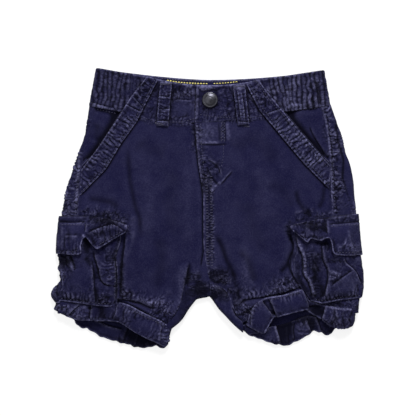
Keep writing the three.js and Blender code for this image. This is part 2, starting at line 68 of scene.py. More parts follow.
# Height of the middle of the front cloth above the table, by how far up the garment it is.
FRONT_HEIGHTS = [(-126, 9.8), (-96, 9.0), (-76, 5.7), (-30, 5.5), (20, 5.3), (80, 5.8), (128, 7.0)]
DIP = SimpleNamespace(depth=1.6, x=58, width=34, start=-95, full=-75)
SIDE_RISE = SimpleNamespace(height=1.3, start=95, full=122, below=0)
UNDER = SimpleNamespace(reach=14, end=26)  # how far the leg rests on the pocket that wraps under it

# One row for each cross-section of a half, from the waistband seam to the cuff seam.
COLUMNS = (
    "inner_x", "inner_y", "front_x", "front_y", "slant_x", "slant_y",
    "seam_x", "seam_y", "fold_x", "fold_y", "bow", "back_bow",
)
SECTIONS = {
    "right": np.array([
        [0, 86, -13, 79, -79, 89, -104, 93.5, -109, 94, -4, -3],
        [0, 66, -12.5, 66, -93, 66.5, -109, 68, -113, 68.5, 0, 0],
        [0, 52, -11.3, 52, -103, 51.5, -114.5, 53, -118.5, 52.5, 0, 0],
        [0, 36, -9.6, 36, -117.3, 35.5, -117.3, 35.5, -124.5, 35, 0, 0],
        [0, 12, -6, 12, -118.6, 12, -118.6, 12, -131, 12, 0, 0],
        [0, -12, -5.6, -12, -119.5, -12, -119.5, -12, -134, -12, 0, 0],
        [0, -39, -5, -38, -120.5, -38, -120.5, -38, -136, -39, 0, 0],
        [0, -78, 0, -64, -121, -52, -121, -52, -135, -52, 3, 0],
        [-7, -79.6, -12, -66.5, -121, -58, -121, -58, -134.5, -58, 4, 0],
        [-12, -81, -22, -71, -121.5, -64, -121.5, -64, -134.3, -64, 6, 0],
        [-17.5, -88, -25.5, -81, -122, -70, -122, -70, -139, -70, 8, -1],
        [-25, -99, -30.5, -92, -123, -77, -123, -77, -142, -77, 10, -3],
        [-34.5, -107.5, -38.5, -102.5, -124, -83, -124, -83, -137.5, -84, 11.5, -5],
    ], float),
    "left": np.array([
        [0, 86, -13, 79, 66, 89, 100, 93, 109, 94.5, -2, -3],
        [0, 66, -12.5, 66, 85, 66.5, 105.5, 68, 118.5, 68, 0, 0],
        [0, 52, -11.3, 52, 97.5, 52, 107.8, 52, 122.5, 51.5, 0, 0],
        [0, 37, -9.6, 37, 109, 38, 109, 38, 127, 37.5, 0, 0],
        [0, 12, -6, 12, 110, 13.5, 110, 13.5, 130.6, 13, 0, 0],
        [0, -12, -5.6, -12, 111, -10, 111, -10, 131.5, -10, 0, 0],
        [0, -39, -5, -38, 112, -38, 112, -38, 134.5, -40, 0, 0],
        [0, -78, 0, -64, 113, -50, 113, -50, 136, -51, 0, 0],
        [4, -83.5, 7, -68, 114, -56, 114, -56, 137, -57, 4, 0],
        [8.5, -90, 14, -72.5, 115, -62, 115, -62, 137, -62, 8, 0],
        [14, -95.5, 17.5, -79, 116, -69, 116, -69, 137, -69, 10, -1],
        [19, -101, 20, -86, 117, -76, 117, -76, 136, -76, 12, -4],
        [25, -106.5, 24, -94, 118, -83, 118, -83, 134, -83.5, 14, -7],
    ], float),
}
POCKET_END, FLAP_TOP, FLAP_END, CROTCH, CUFF_SEAM = 3, 5, 6, 7, 12

BACK_TOP = SimpleNamespace(
    centre=117, rise={"right": 10.4, "left": 8.4}, power={"right": 1.5, "left": 1.9}, fold_x=103,
)
FRONT_TOP = SimpleNamespace(centre=111.5, rise=8.5, reach=57)
LAP_X = -11.7
LAP = {"right": 14.0, "left": 0.0}  # how far each front runs on under the other at the centre
SLANT_TOP = {"right": (-57, 119.5), "left": (43.6, 116.6)}
SLANT_BANDS = {
    "right": (
        [(-57, 119.3), (-72, 100), (-82.4, 83), (-100, 56.6), (-115.6, 36)],
        [(-47, 117.5), (-57, 98), (-66, 80), (-81, 59), (-94, 37), (-117, 13.5)],
    ),
    "left": (
        [(43.8, 116.2), (56, 100), (68, 86), (90, 60), (108.2, 39.5)],
        [(33, 112.7), (44.8, 90), (60, 72), (85, 42), (107.2, 19.5)],
    ),
}
# How the inner leg runs on below the cuff seam.
INNER_WAY = {"right": (-0.3, -0.95, 0), "left": (0.76, -0.65, 0)}
BELT_LOOPS = {
    "right": SimpleNamespace(top=(-39.5, 114.6), bottom=(-43, 76), width=10),
    "left": SimpleNamespace(top=(26, 112), bottom=(30.2, 77), width=10),
}

# How far a sheet runs on under what covers its edge, how far it sinks there and over what length.
WAIST_TUCK = SimpleNamespace(reach=6, sink=1.6, slope=3)
CUFF_TUCK = SimpleNamespace(reach=11, sink=3.4, slope=3)
BACK_CUFF_TUCK = SimpleNamespace(reach=9, sink=0.0, slope=3)
INNER_CUFF_TUCK = SimpleNamespace(reach=7, sink=0.0, slope=3)
SIDE_TUCK = SimpleNamespace(reach=4.5, sink=1.5, slope=2.0)
INNER_TUCK = SimpleNamespace(reach=2.5, sink=1.5, slope=1.6)
BAND_TUCK = SimpleNamespace(reach=5.0, sink=1.0, slope=3)

# Cargo pockets and flaps: edge lines on the front. Tops and bottoms run from the side fold inwards.
POCKETS = {
    "right": SimpleNamespace(
        rows=(5.4, 11.8), wrap=12, stand=4.6,
        top=[(-110, -21), (-95, -20), (-81, -19)],
        bottom=[(-135, -81), (-120, -82.8), (-101, -85.8), (-90, -86.6), (-84, -84.5)],
        edge=[(-81, -19), (-80.5, -27), (-83, -36), (-84.8, -42), (-83.4, -52), (-82.8, -64), (-84, -84.5)],
    ),
    "left": SimpleNamespace(
        rows=(5.4, 11.3), wrap=12, stand=5.4,
        top=[(112, -20), (95, -20), (76, -18)],
        bottom=[(136, -78.6), (115, -80.8), (101, -83.8), (91, -81.5)],
        edge=[(76, -18), (78.7, -37), (75.6, -45), (75.9, -55), (78, -61), (84, -70), (91, -81.5)],
    ),
}
# A flap's lower edge curls: where, how high and over what width.
FLAPS = {
    "right": SimpleNamespace(
        rows=(4.75, 6.0), wrap=12,
        top=[(-120, -5.2), (-104, -6.5), (-92, -8), (-82, -11), (-75.5, -13.8)],
        bottom=[
            (-130, -39.2), (-119.5, -39.8), (-115, -38.8), (-115.6, -33), (-114, -25.5), (-111, -23.6),
            (-108, -27), (-104.6, -31.4), (-100.8, -34.8), (-96.5, -32.4), (-90, -28.4), (-82, -23.4),
            (-76, -20),
        ],
        edge=[(-75.5, -13.8), (-74.5, -16.5), (-76, -20)],
        curls=[(-127, 1.0, 9), (-115, 2.6, 4), (-112, -1.6, 3), (-101, 4.2, 8), (-88, 2.0, 8)],
    ),
    "left": SimpleNamespace(
        rows=(4.75, 6.0), wrap=12,
        top=[(118.4, -4.9), (104, -7), (90, -10), (78, -12.4), (72.5, -14.8)],
        bottom=[
            (130, -40.4), (120, -40.2), (112, -39.8), (109.6, -37.5), (109, -30), (106.4, -24.6),
            (103, -24.8), (99.3, -27.2), (94, -26.2), (89.4, -25), (87.2, -29), (82, -25), (75, -18.6),
        ],
        edge=[(72.5, -14.8), (72.8, -17), (75, -18.6)],
        curls=[(128, 0.8, 9), (110, 2.4, 4), (104, 3.4, 5), (98, 0.6, 4), (90, 3.0, 4), (83, 1.6, 5)],
    ),
}

# Cuffs: a closed ring of stations, each from the seam to the hem. It starts at the inner leg, goes over
# the front and the outer side, and comes back along the table.
CUFFS = {
    "right": np.array([
        [-38, -104, 8.6, -41.5, -122.5, 8.0, 1.0],
        [-44, -100, 9.6, -48, -118.7, 9.6, 1.5],
        [-53, -95.8, 10.0, -57, -114.8, 10.5, 1.5],
        [-63, -91, 10.0, -66, -110.0, 10.5, 1.5],
        [-71.6, -86, 10.0, -74, -104.7, 10.2, 1.5],
        [-80, -83.5, 9.8, -82, -100.0, 9.6, 1.2],
        [-90, -84.5, 8.6, -91, -99.3, 8.8, 0.8],
        [-100, -85.6, 7.4, -100, -99.4, 8.4, 0.6],
        [-108, -85, 7.0, -109, -98.8, 8.6, 0.9],
        [-118, -84, 7.0, -119, -98.6, 8.2, 0.8],
        [-128, -83, 6.8, -128, -95.7, 7.4, 1.2],
        [-134.5, -82.3, 5.8, -136.5, -91.5, 5.8, 1.2],
        [-138, -82, 3.8, -140.3, -88.8, 3.6, 0.6],
        [-135.5, -82, 1.7, -136, -91.6, 1.6, 0],
        [-124, -87, 1.1, -128, -96.9, 1.2, 0],
        [-108, -92.7, 1.1, -114, -105.8, 1.2, 0],
        [-92, -97.5, 1.1, -100, -114.1, 1.3, 0],
        [-80, -100.3, 1.1, -88, -118.4, 1.6, 0],
        [-72, -101.7, 1.1, -79, -120.8, 1.8, 0],
        [-62, -103, 1.1, -68, -124.2, 2.0, 0],
        [-54, -103.8, 1.1, -58, -124.2, 2.0, 0],
        [-46, -104.5, 1.1, -50, -122.2, 2.0, 0],
        [-38.5, -106, 1.7, -42, -124, 2.2, 0],
        [-35, -106.5, 4.4, -38.4, -121, 4.6, 0.4],
        [-35.6, -105.5, 7.0, -38.6, -121.3, 6.8, 0.6],
    ], float),
    "left": np.array([
        [33, -103.5, 8.0, 45, -110.3, 7.5, 0.8],
        [35, -97, 9.0, 49, -110.5, 9.5, 1.5],
        [36, -91.5, 9.5, 52.5, -103, 10.5, 1.8],
        [41, -85, 9.8, 56.5, -96.2, 11.0, 1.8],
        [46.5, -81, 9.2, 58.7, -95.6, 9.0, 0.4],
        [49.5, -79.6, 7.0, 59.7, -95.6, 7.4, -0.8],
        [53, -78.8, 8.6, 61.5, -95.4, 9.6, 1.0],
        [65, -77, 9.8, 70, -92.8, 10.8, 2.0],
        [75, -74, 9.6, 79, -90.6, 10.6, 1.8],
        [82, -71.8, 8.8, 87, -89, 9.6, 1.0],
        [85.5, -74.5, 6.0, 90, -91.5, 7.0, -0.8],
        [90, -82.5, 5.6, 95, -95, 6.6, 0],
        [99, -85, 5.8, 101.5, -98.8, 7.2, 0.5],
        [105, -86.5, 8.0, 107.5, -104, 8.4, 2.5],
        [113, -87.5, 8.8, 115, -106, 8.8, 3.2],
        [122, -88.5, 8.6, 122.5, -106.4, 8.2, 3.0],
        [128.5, -89.5, 7.4, 128, -104.5, 6.6, 2.0],
        [131, -89.5, 4.4, 130.5, -98.5, 4.2, 0.6],
        [129, -88, 1.8, 127, -104.6, 1.8, 0],
        [118, -91, 1.2, 113.5, -107.4, 1.6, 0],
        [108, -94, 1.2, 107.5, -111.3, 1.6, 0],
        [99, -96, 1.8, 100, -111, 1.7, 0],
        [88, -96, 2.6, 94, -109.4, 1.8, 0],
        [79, -99, 2.4, 86, -114.8, 1.9, 0],
        [70, -103, 1.4, 77, -120, 2.0, 0],
        [62, -105, 1.2, 68, -123.6, 2.0, 0],
        [52, -106, 1.2, 57, -121, 2.0, 0],
        [42, -106.5, 1.2, 46, -116.2, 1.8, 0],
        [30, -107.2, 2.4, 37, -113.3, 2.6, 0],
        [26.4, -104.4, 4.8, 34.5, -111.8, 4.8, 0.3],
    ], float),
}

# ---- relief, placed in the garment's own plan ------------------------------------------------------
# A name with "inside_" before it is the hidden side of a layer that lies on the table.

# Lips: the cloth left of the line's travel stands up over the cloth right of it.
# rise and its width, sink and its width, how worn the lip is, how dark the painted shade in the hollow is,
# the line.
LIPS = {
    "front_right": [
        [0, 2, 1.4, 2, 0, 1, [(-14, 81), (-13.8, 76), (-12.4, 66), (-11.2, 51), (-10, 40), (-8, 28),
            (-6.4, 18), (-5.8, 0), (-5.6, -20), (-5.4, -38), (-8, -54)]],
        [0.9, 8, 2.6, 3.2, 0.2, 0.95, [(-35, -103), (-29, -92), (-26, -81), (-23.6, -68), (-21.6, -58),
            (-19, -46)]],
        [0.3, 3, 2.2, 2.8, 0.1, 1, [(-75.4, -20), (-77, -36), (-78.6, -50), (-79.6, -68), (-80.6, -80)]],
        [0.5, 2.4, 3, 3, 0.35, 0.95, [(-88, -79.4), (-80, -80.4), (-64, -82), (-57, -85), (-48, -88.6)]],
    ],
    "front_left": [
        [0.45, 2.2, 0, 1, 0.35, 0, [(-12.6, 80), (-12, 66), (-10.6, 50), (-9.2, 38), (-7.2, 26),
            (-5.6, 16), (-5, 4)]],
        [0.3, 1.2, 0, 1, 0.12, 0, [(-5.2, 10), (-4.8, -4), (-4.6, -20), (-4.2, -38), (-5, -50)]],
        [0.6, 3, 2.2, 3, 0, 1, [(72.6, -18), (76.6, -32), (76, -37), (72.4, -46), (74, -56), (79.6, -66),
            (86, -76)]],
        [0.5, 2, 2.4, 2.2, 0.25, 0.9, [(24, -88), (28, -81), (38, -79), (46, -78.4), (56, -76.4),
            (66, -75), (76, -71), (84, -68.6)]],
        [0.5, 1.8, 0.9, 1.3, 0.35, 0.6, [(-3, 46), (4, 43), (9, 38), (10, 31)]],
    ],
    "back_left": [
        [0.2, 2, 2.4, 2.4, 0.1, 0.9, [(48, -110), (35, -103.6), (23.3, -96.6), (19.6, -89), (19, -79)]],
    ],
    "hip_pocket_left": [
        [0.3, 2, 1.2, 2, 0.05, 1, [(90, 76), (95, 65), (101, 56), (105, 48)]],
    ],
    "cargo_pocket_right": [
        [1.1, 4, 2, 2, 0.3, 1, [(-103.6, -36), (-102.4, -45), (-99, -53), (-98.4, -61), (-95, -66),
            (-86, -68)]],
        [0.5, 2.4, 1.2, 1.8, 0.15, 0.9, [(-103.2, -87), (-104.2, -70), (-105, -56), (-106, -44)]],
        [1.2, 2.6, 2.2, 3.4, 0.35, 0.95, [(-121.6, -55), (-122.4, -50), (-125.4, -46), (-126.4, -40)]],
        [1, 2, 1.4, 2, 0.7, 0.7, [(-139, -50), (-134.6, -54), (-133.2, -60), (-132.4, -69)]],
        [0.6, 1.6, 1.4, 1.6, 0.4, 0.9, [(-85.2, -84), (-84.6, -66), (-85.6, -50), (-86, -42)]],
        [0.6, 1.2, 0.8, 1.4, 0.9, 0.9, [(-85.6, -42), (-83.4, -36), (-80.6, -26)]],
    ],
    "cargo_pocket_left": [
        [1.8, 2, 2.2, 2.4, 3, 0.95, [(77, -22), (80, -31), (82.6, -38), (84, -45), (84, -59),
            (88.6, -62.6), (90, -68), (93, -80)]],
        [1.3, 4, 2, 2.2, 0.45, 1, [(99.6, -29), (101, -34), (101.4, -42), (103, -48.4), (106, -52),
            (106.6, -60), (104.6, -70), (102, -80)]],
        [0.6, 3, 0.8, 1.2, 0.5, 0.8, [(134.6, -66), (132, -59), (129.6, -54), (121, -47.6), (119.4, -41)]],
        [0.9, 6, 0.9, 2, 0.15, 0.7, [(128.4, -53.4), (117, -61.6), (108, -69)]],
        [0.6, 3, 0.6, 1.6, 0.1, 0.7, [(136, -66), (132, -58.6), (128.6, -53.6)]],
        [0.6, 3, 0.7, 2, 0, 0.5, [(92, -44), (96, -50), (99.6, -56)]],
    ],
    "cargo_flap_right": [
        [1.3, 4, 2, 2.2, 0.3, 1, [(-76, -20), (-80, -17), (-87, -13.4), (-94, -15), (-102, -17.4),
            (-110, -21.6)]],
        [0.7, 3, 1.3, 1.5, 0.35, 1, [(-110.6, -11.4), (-120, -11.6), (-138, -11)]],
        [0.3, 1.2, 0.9, 1.3, 0.1, 0.8, [(-108, -6.4), (-120, -5.8), (-137, -6)]],
        [0.8, 1, 1, 1.4, 1, 0.8, [(-74.6, -14.4), (-80, -12), (-88, -9), (-98, -9.6)]],
        [0.5, 2, 0.8, 1.4, 0.3, 0.8, [(-110.4, -12), (-111.4, -20)]],
    ],
    "cargo_flap_left": [
        [0.9, 3, 1.4, 1.8, 0.2, 0.95, [(104.8, -9), (104.6, -15), (105, -22)]],
        [0.6, 3, 1.2, 1.5, 0.2, 0.95, [(136, -11.6), (120, -11.8), (105, -14)]],
        [0.8, 1, 1.2, 1.6, 0.8, 0.9, [(84, -10.4), (77, -12), (73, -14.6)]],
        [0.5, 1.4, 0.9, 1.3, 0.25, 0.8, [(132, -5.2), (118, -5.6), (104, -8), (92, -9.6)]],
    ],
    "waistband_front_right": [
        [0.6, 4, 1.4, 2, 0.1, 1, [(-14.4, 77), (-14.2, 90), (-14, 111)]],
        [0.4, 3, 0.9, 1.3, 0.2, 0.9, [(-16, 98.6), (-22, 98), (-26, 99.6), (-32, 98.6)]],
        [0.4, 2, 1, 1.4, 0.4, 0.8, [(-58, 98), (-64, 90), (-69, 84)]],
    ],
    "waistband_front_left": [
        [0.4, 2, 0, 1, 0.4, 0, [(-11.4, 112), (-11.4, 96), (-12.4, 79)]],
    ],
    "waistband_back": [
        [0.7, 2, 0.9, 1.4, 0.5, 0.8, [(93, 124), (96, 117), (97.4, 108.6), (99.8, 93.4)]],
        [0.5, 2, 0.9, 1.3, 0.6, 0.8, [(49, 111), (55, 104), (60, 99), (65, 92)]],
        [0.4, 2, 0.7, 1.3, 0.3, 0.6, [(-92, 92), (-100, 94), (-108, 97)]],
    ],
    "slant_band_right": [
        [0.5, 2, 0.9, 1.4, 0.3, 0.8, [(-62, 88), (-70, 91.6), (-76, 95.4)]],
        [0.3, 2, 0.8, 1.3, 0.3, 0.7, [(-60, 92), (-66, 98), (-70, 103)]],
    ],
    "slant_band_left": [
        [0.5, 2, 0.9, 1.4, 0.4, 0.8, [(66, 91.6), (58, 89), (50, 86)]],
    ],
    "belt_loop_right": [
        [0.6, 2.4, 0.8, 1.4, 0.4, 0.9, [(-36, 90.6), (-47, 90.2)]],
        [0.6, 2.4, 0.8, 1.4, 0.3, 0.8, [(-36, 101), (-46, 102)]],
        [0.4, 1.6, 0.6, 1.2, 0.6, 0.8, [(-37, 79.4), (-48, 80)]],
    ],
    "belt_loop_left": [
        [0.4, 1.4, 0.8, 1.1, 0.6, 0.9, [(24.4, 109), (26, 95), (28, 80)]],
        [0.4, 1.4, 0.8, 1.1, 0.5, 0.9, [(31.6, 80), (30, 95), (28, 107)]],
        [0.4, 1.6, 0.6, 1.2, 0.6, 0.8, [(35, 79), (25, 79.4)]],
    ],
    "cuff_right": [
        [0.8, 3, 2.2, 2.2, 0.5, 1, [(-128, -96), (-125.4, -91), (-120, -87), (-117, -85)]],
        [0.8, 4, 1.6, 2.4, 0.4, 1, [(-106.6, -84), (-106.8, -92), (-107.4, -99)]],
        [0.7, 3, 0.7, 2, 0.3, 0.5, [(-82.6, -84), (-84, -92), (-87, -98.4)]],
        [0.6, 2, 0.9, 1.6, 0.4, 0.8, [(-44.6, -118), (-45.4, -110), (-42.6, -103)]],
        [0.5, 1.4, 0, 1, 0.3, 0, [(-37, -103.6), (-42, -100.8), (-53, -95.4), (-65, -89.8), (-72, -85.6),
            (-80, -83)]],
    ],
    "cuff_left": [
        [1, 3, 2.4, 2.6, 0.4, 1, [(56.6, -96.4), (51.4, -88), (45.6, -81)]],
        [1, 3, 1.8, 2.4, 0.4, 1, [(53, -78.6), (57, -86), (61, -96)]],
        [1, 4, 2.6, 3, 0.4, 1, [(89.4, -90.6), (86, -81), (82.4, -71.4)]],
        [1.6, 3, 2.4, 2.4, 1.1, 1, [(104.4, -86), (102.4, -93), (101.4, -100)]],
        [0.6, 2, 1, 1.4, 0.5, 0.7, [(112, -88), (114, -96), (113, -104)]],
        [0.9, 2, 1.6, 1.6, 0.5, 0.9, [(39.4, -87), (36.6, -95), (37.6, -104)]],
        [0.4, 1.4, 0, 1, 1, 0, [(86, -89.4), (73, -92), (60, -95.6)]],
        [0.6, 2, 1.4, 1.5, 0.4, 1, [(24, -97.6), (30, -101.6), (35, -104.4), (42, -108), (48.6, -111.3)]],
        [0.4, 1.4, 0, 1, 1, 0, [(57, -95.6), (52.6, -102.4), (48, -110.6)]],
        [0.5, 1.4, 0, 1, 1, 0, [(83, -71.6), (75, -73.8), (65, -76.8), (52, -78.6)]],
    ],
    "inside_cuff_right": [
        [0.8, 6, 1, 3, 0.3, 0.7, [(-78, -109), (-93.7, -105), (-106, -98.6)]],
        [0.9, 4, 1.2, 2.6, 0.1, 0.8, [(-80, -122), (-77, -112), (-74, -104)]],
        [1, 3, 1, 2, 0.3, 0.8, [(-69, -124.6), (-66.6, -118), (-65, -112)]],
    ],
    "inside_cuff_left": [
        [0.6, 2, 1.4, 1.5, 0.4, 1, [(24, -97.6), (30, -101.6), (35, -104.4), (42, -108), (48.6, -111.3)]],
        [2.8, 6, 1.2, 3, 0.8, 1, [(63.4, -122), (61.6, -113.6), (60, -109), (58.6, -102.4), (55.6, -101.6),
            (49, -110.6)]],
        [1.8, 7, 1, 3, 0.5, 0.9, [(100.6, -99), (92, -96), (85, -96.4), (76.8, -100.4)]],
        [0.8, 3, 0.8, 2, 0.3, 0.8, [(92, -112), (88.6, -104), (86, -97)]],
        [1.2, 3, 1.2, 2, 0.3, 0.9, [(100.4, -112), (98, -103), (95, -97)]],
        [0.7, 2, 0.8, 1.5, 0.2, 0.7, [(76, -119), (74.6, -110), (75.6, -101)]],
        [0.6, 2, 0.6, 1.4, 0.15, 0.7, [(70.6, -121), (69.4, -112), (70, -104)]],
    ],
}

# Creases: soft troughs (depth < 0) and ridges (depth > 0), the same on both sides of their line.
# depth, width, how dark the painted shade in it is, how worn it is, the line.
CREASES = {
    "front_right": [
        [-1, 3, 0.4, 0, [(-74, 58), (-72.6, 34), (-72, 16), (-67, 4), (-64.2, -10), (-64, -28)]],
        [0.6, 3.2, 0, 0.03, [(-68.4, -3), (-70, -14), (-71.6, -28)]],
        [-0.9, 3.6, 0.4, 0, [(-112, 8.6), (-100, 9.8), (-91, 7), (-81, -1)]],
        [-0.9, 7, 0.22, 0, [(-48, -22), (-44, -50), (-50, -76)]],
        [-0.8, 9, 0.16, 0, [(-66, 62), (-54, 52), (-38, 48)]],
        [-0.7, 8, 0.14, 0, [(-34, 40), (-38, 10), (-33, -30)]],
        [0.8, 8, 0, 0.04, [(-60, 36), (-56, 8), (-57, -24)]],
        [0.7, 7, 0, 0.04, [(-22, 44), (-20, 6), (-21, -34)]],
        [0.6, 4, 0, 0.05, [(-24, -46), (-27.6, -66), (-31, -84), (-36, -98)]],
        [0.4, 2.4, 0, 0.06, [(-68, -16), (-71, -30), (-76, -44)]],
    ],
    "front_left": [
        [-1.5, 3.2, 0.6, 0, [(3, -20), (8, -30), (13, -41), (18.6, -54), (23, -68)]],
        [-0.8, 4.4, 0.4, 0, [(27, -34), (34, -48), (41, -68)]],
        [-1.1, 2.8, 0.5, 0, [(76, 19), (80, 8), (86, -1), (92, -6)]],
        [-0.9, 2.8, 0.45, 0, [(103.6, 22), (101.6, 10), (97, 0)]],
        [-1.6, 3.2, 0.7, 0, [(77.6, -37), (71, -47), (62, -58)]],
        [-0.9, 9, 0.18, 0, [(14, 56), (34, 62), (48, 56), (62, 38)]],
        [-0.7, 7, 0.16, 0, [(52, 26), (66, 14), (76, -2)]],
        [0.8, 9, 0, 0.04, [(34, 42), (50, 22), (54, -14)]],
        [-0.8, 8, 0.14, 0, [(30, 10), (38, -16), (52, -44)]],
        [0.6, 6, 0, 0.1, [(30, -30), (32, -56), (38, -74)]],
        [-1, 1.2, 0.9, 0, [(-4, 40), (0.5, 31), (6, 24), (9, 21)]],
        [-0.6, 1.2, 0.8, 0, [(9, 22), (14.4, 28), (21, 35)]],
        [-0.4, 3.4, 0.5, 0, [(-1, 36), (-0.4, 10), (-0.2, -20), (0, -52)]],
        [0.4, 0.8, 0, 0.5, [(0, 18), (6, 22), (9.6, 26)]],
        [0.4, 0.7, 0, 0.4, [(7.6, 22), (13, 28.6), (20, 36)]],
        [-0.7, 1.1, 0.9, 0, [(-12, 59.2), (0, 59), (9, 58.8), (17, 59)]],
        [0.5, 1.1, 0, 0.7, [(-11, 61.2), (-4, 60.6), (9, 60.6)]],
        [0.5, 1.6, 0, 0.35, [(16, 80), (16, 62)]],
        [-0.4, 1.1, 0.5, 0, [(8, 80), (8, 60)]],
        [-0.4, 1.1, 0.6, 0, [(13.4, 80), (13.4, 60)]],
        [-0.8, 2, 0.25, 0, [(70, -12), (71, -22), (73, -30)]],
    ],
    "back_right": [
        [0.4, 0.8, 0, 0.8, [(-13, -71), (-7, -68.6), (0, -68)]],
        [-0.7, 1.4, 0.7, 0, [(-117.6, 36), (-118.4, 20), (-119, 6), (-119.4, -6)]],
        [0.5, 1.2, 0, 0.6, [(-117, 58), (-118.6, 34), (-120, 12), (-121, -4)]],
        [-0.6, 1.6, 0.6, 0, [(-128.6, 12), (-130, 4), (-128, -3)]],
        [0.6, 1.6, 0, 0.4, [(-128, 20), (-130.6, 8)]],
    ],
    "back_left": [
        [0.5, 0.8, 0, 1.3, [(0, -68), (6, -69), (12, -73), (17, -79)]],
        [0.5, 0.9, 0, 0.9, [(99, 98), (103, 86), (106.6, 70), (108.6, 50), (110, 30), (110.6, 10),
            (112.6, -4)]],
        [-0.6, 1.2, 0.7, 0, [(101, 97), (104.6, 86), (108, 68), (110, 46), (111.4, 24), (112.4, 6)]],
        [-0.9, 1.6, 0.7, 0, [(112.6, 86), (115.6, 62), (119.6, 46), (120.2, 26), (125, 9), (131, 1)]],
        [0.5, 1.6, 0, 0.4, [(122, 24), (127, 9), (132, 1)]],
    ],
    "cargo_pocket_right": [
        [-0.8, 3, 0.35, 0, [(-113, -42), (-109, -46), (-105, -50)]],
        [0.5, 2.4, 0, 0, [(-110, -57), (-104.6, -60)]],
        [-0.9, 2.2, 0.7, 0, [(-101.6, -70), (-102, -84)]],
        [-0.8, 2, 0.6, 0, [(-97, -79), (-92, -76.6), (-89, -80)]],
        [-0.8, 1.4, 0.8, 0, [(-137, -79), (-120, -81), (-106, -82.4)]],
        [-0.9, 1.4, 0.9, 0, [(-136.6, -66), (-138, -74), (-137, -79)]],
    ],
    "cargo_pocket_left": [
        [-0.9, 2.2, 0.7, 0, [(101, -66), (100, -80)]],
        [-1, 2.4, 0.7, 0, [(92, -50), (94, -58), (92, -66)]],
        [-0.8, 1.8, 0.6, 0, [(132, -66), (133.6, -76)]],
        [-0.7, 1.3, 0.7, 0, [(95, -80.6), (101, -81.8), (115, -78.8), (137, -76.8)]],
        [0.6, 1.6, 0, 0.5, [(106, -54), (112, -56), (116, -60)]],
    ],
    "cargo_flap_left": [
        [0.5, 0.7, 0, 0.7, [(111.6, -31), (114, -33.2), (117, -33.6), (120, -31.6), (121.4, -28),
            (121, -24)]],
        [0.5, 1.5, 0, 0.22, [(123.4, -17), (124.2, -27), (125.4, -37)]],
        [-0.6, 1.6, 0.6, 0, [(112, -40), (111, -32), (109.6, -24)]],
        [-0.5, 1.5, 0.5, 0, [(86, -14), (92, -19), (98, -18)]],
    ],
    "cargo_flap_right": [
        [-0.6, 2, 0.4, 0, [(-126, -14), (-127, -26), (-125, -36)]],
        [0.5, 1.4, 0, 0.25, [(-132.6, -14), (-132, -24), (-133, -36)]],
        [-0.5, 0.8, 0.8, 0, [(-131, -22), (-124, -22.6), (-117, -22.4)]],
        [0.4, 0.7, 0, 0.55, [(-131, -23.4), (-124, -24), (-117, -23.8)]],
        [-0.5, 0.8, 0.8, 0, [(-131, -34.6), (-124, -35.4), (-117, -35)]],
        [-0.4, 0.8, 0.7, 0, [(-129.6, -22), (-130.4, -35)]],
        [0.5, 1.6, 0, 0.2, [(-136, -20), (-136, -34)]],
        [-0.6, 1.4, 0.5, 0, [(-122, -22), (-114, -22)]],
        [-0.6, 1.4, 0.6, 0, [(-106, -22), (-102, -31)]],
        [0.5, 1.4, 0, 0.15, [(-101, -19), (-98.6, -24), (-97, -31)]],
        [-0.5, 1.2, 0.5, 0, [(-96, -17), (-94, -23), (-93, -28)]],
        [-0.5, 1.4, 0.5, 0, [(-90, -17), (-88, -26)]],
        [-0.5, 1, 0.8, 0, [(-138, -10.4), (-124, -10.8), (-110, -10.6)]],
    ],
    "hip_pocket_right": [
        [-0.8, 5, 0.3, 0, [(-99, 78), (-106, 62)]],
        [-0.8, 2.4, 0.7, 0, [(-108, 92), (-98, 89.6), (-86, 86)]],
    ],
    "hip_pocket_left": [
        [-0.9, 2.4, 0.7, 0, [(70, 90), (84, 91.6), (98, 91)]],
    ],
    "waistband_back": [
        [-0.8, 1.4, 0.8, 0, [(-57.6, 119), (-66, 107), (-75, 96)]],
        [0.6, 1.2, 0, 0.5, [(-83, 88.6), (-96, 92.4), (-108, 95.6)]],
        [0.6, 1.2, 0, 0.6, [(70, 93.6), (82, 94.4), (98, 95)]],
    ],
    "waistband_front_left": [
        [0.8, 3, 0, 0.9, [(-9, 110.6), (3, 111.6)]],
        [-0.8, 1.1, 1, 0, [(-9, 105.4), (-3, 107.6), (3, 108.2), (9, 107)]],
        [0.4, 1.2, 0, 0.7, [(34, 104.6), (40, 98), (45, 91)]],
        [-0.5, 1.2, 0.7, 0, [(33, 104), (38.4, 98), (43, 91)]],
    ],
    "waistband_front_right": [
        [-0.5, 1.4, 0.6, 0, [(-49, 112), (-54, 104), (-60, 98)]],
        [-0.4, 1.2, 0.5, 0, [(-16, 84), (-34, 83.6)]],
        [0.8, 2.6, 0, 0.5, [(-22, 112), (-16, 111.6)]],
    ],
    "cuff_right": [
        [-0.6, 1.6, 0.5, 0, [(-66, -92), (-68, -99)]],
        [0.6, 2.4, 0, 0.1, [(-72, -89), (-73, -100)]],
        [-0.6, 2, 0.5, 0, [(-76, -88), (-79, -99)]],
        [0.4, 2.4, 0, 0, [(-57, -98), (-58, -110)]],
        [-0.8, 3.6, 0.6, 0, [(-96, -87), (-98, -98)]],
    ],
    "cuff_left": [
        [-1.6, 2, 0.9, 0, [(47.5, -81), (53, -90), (57.6, -95)]],
        [-0.5, 1.6, 0.4, 0, [(70, -76), (72, -92)]],
        [-1.8, 6, 0.75, 0, [(94, -84), (97, -97)]],
        [0.4, 0.8, 0, 0.9, [(103.6, -87.4), (112, -88.8), (122, -89.8), (130, -90)]],
        [-0.8, 1.5, 0.8, 0, [(110, -90), (112, -98), (108, -104)]],
        [-0.8, 1.5, 0.8, 0, [(120, -90), (118, -98), (121, -105)]],
        [-0.8, 1.5, 0.8, 0, [(127, -91), (124, -98), (127, -103)]],
    ],
    "inside_cuff_left": [
        [0.9, 0.9, 0, 1.8, [(63.6, -122), (62, -114), (60, -108.6), (58.6, -102.6), (55.4, -101.6),
            (49.4, -110.4)]],
    ],
}

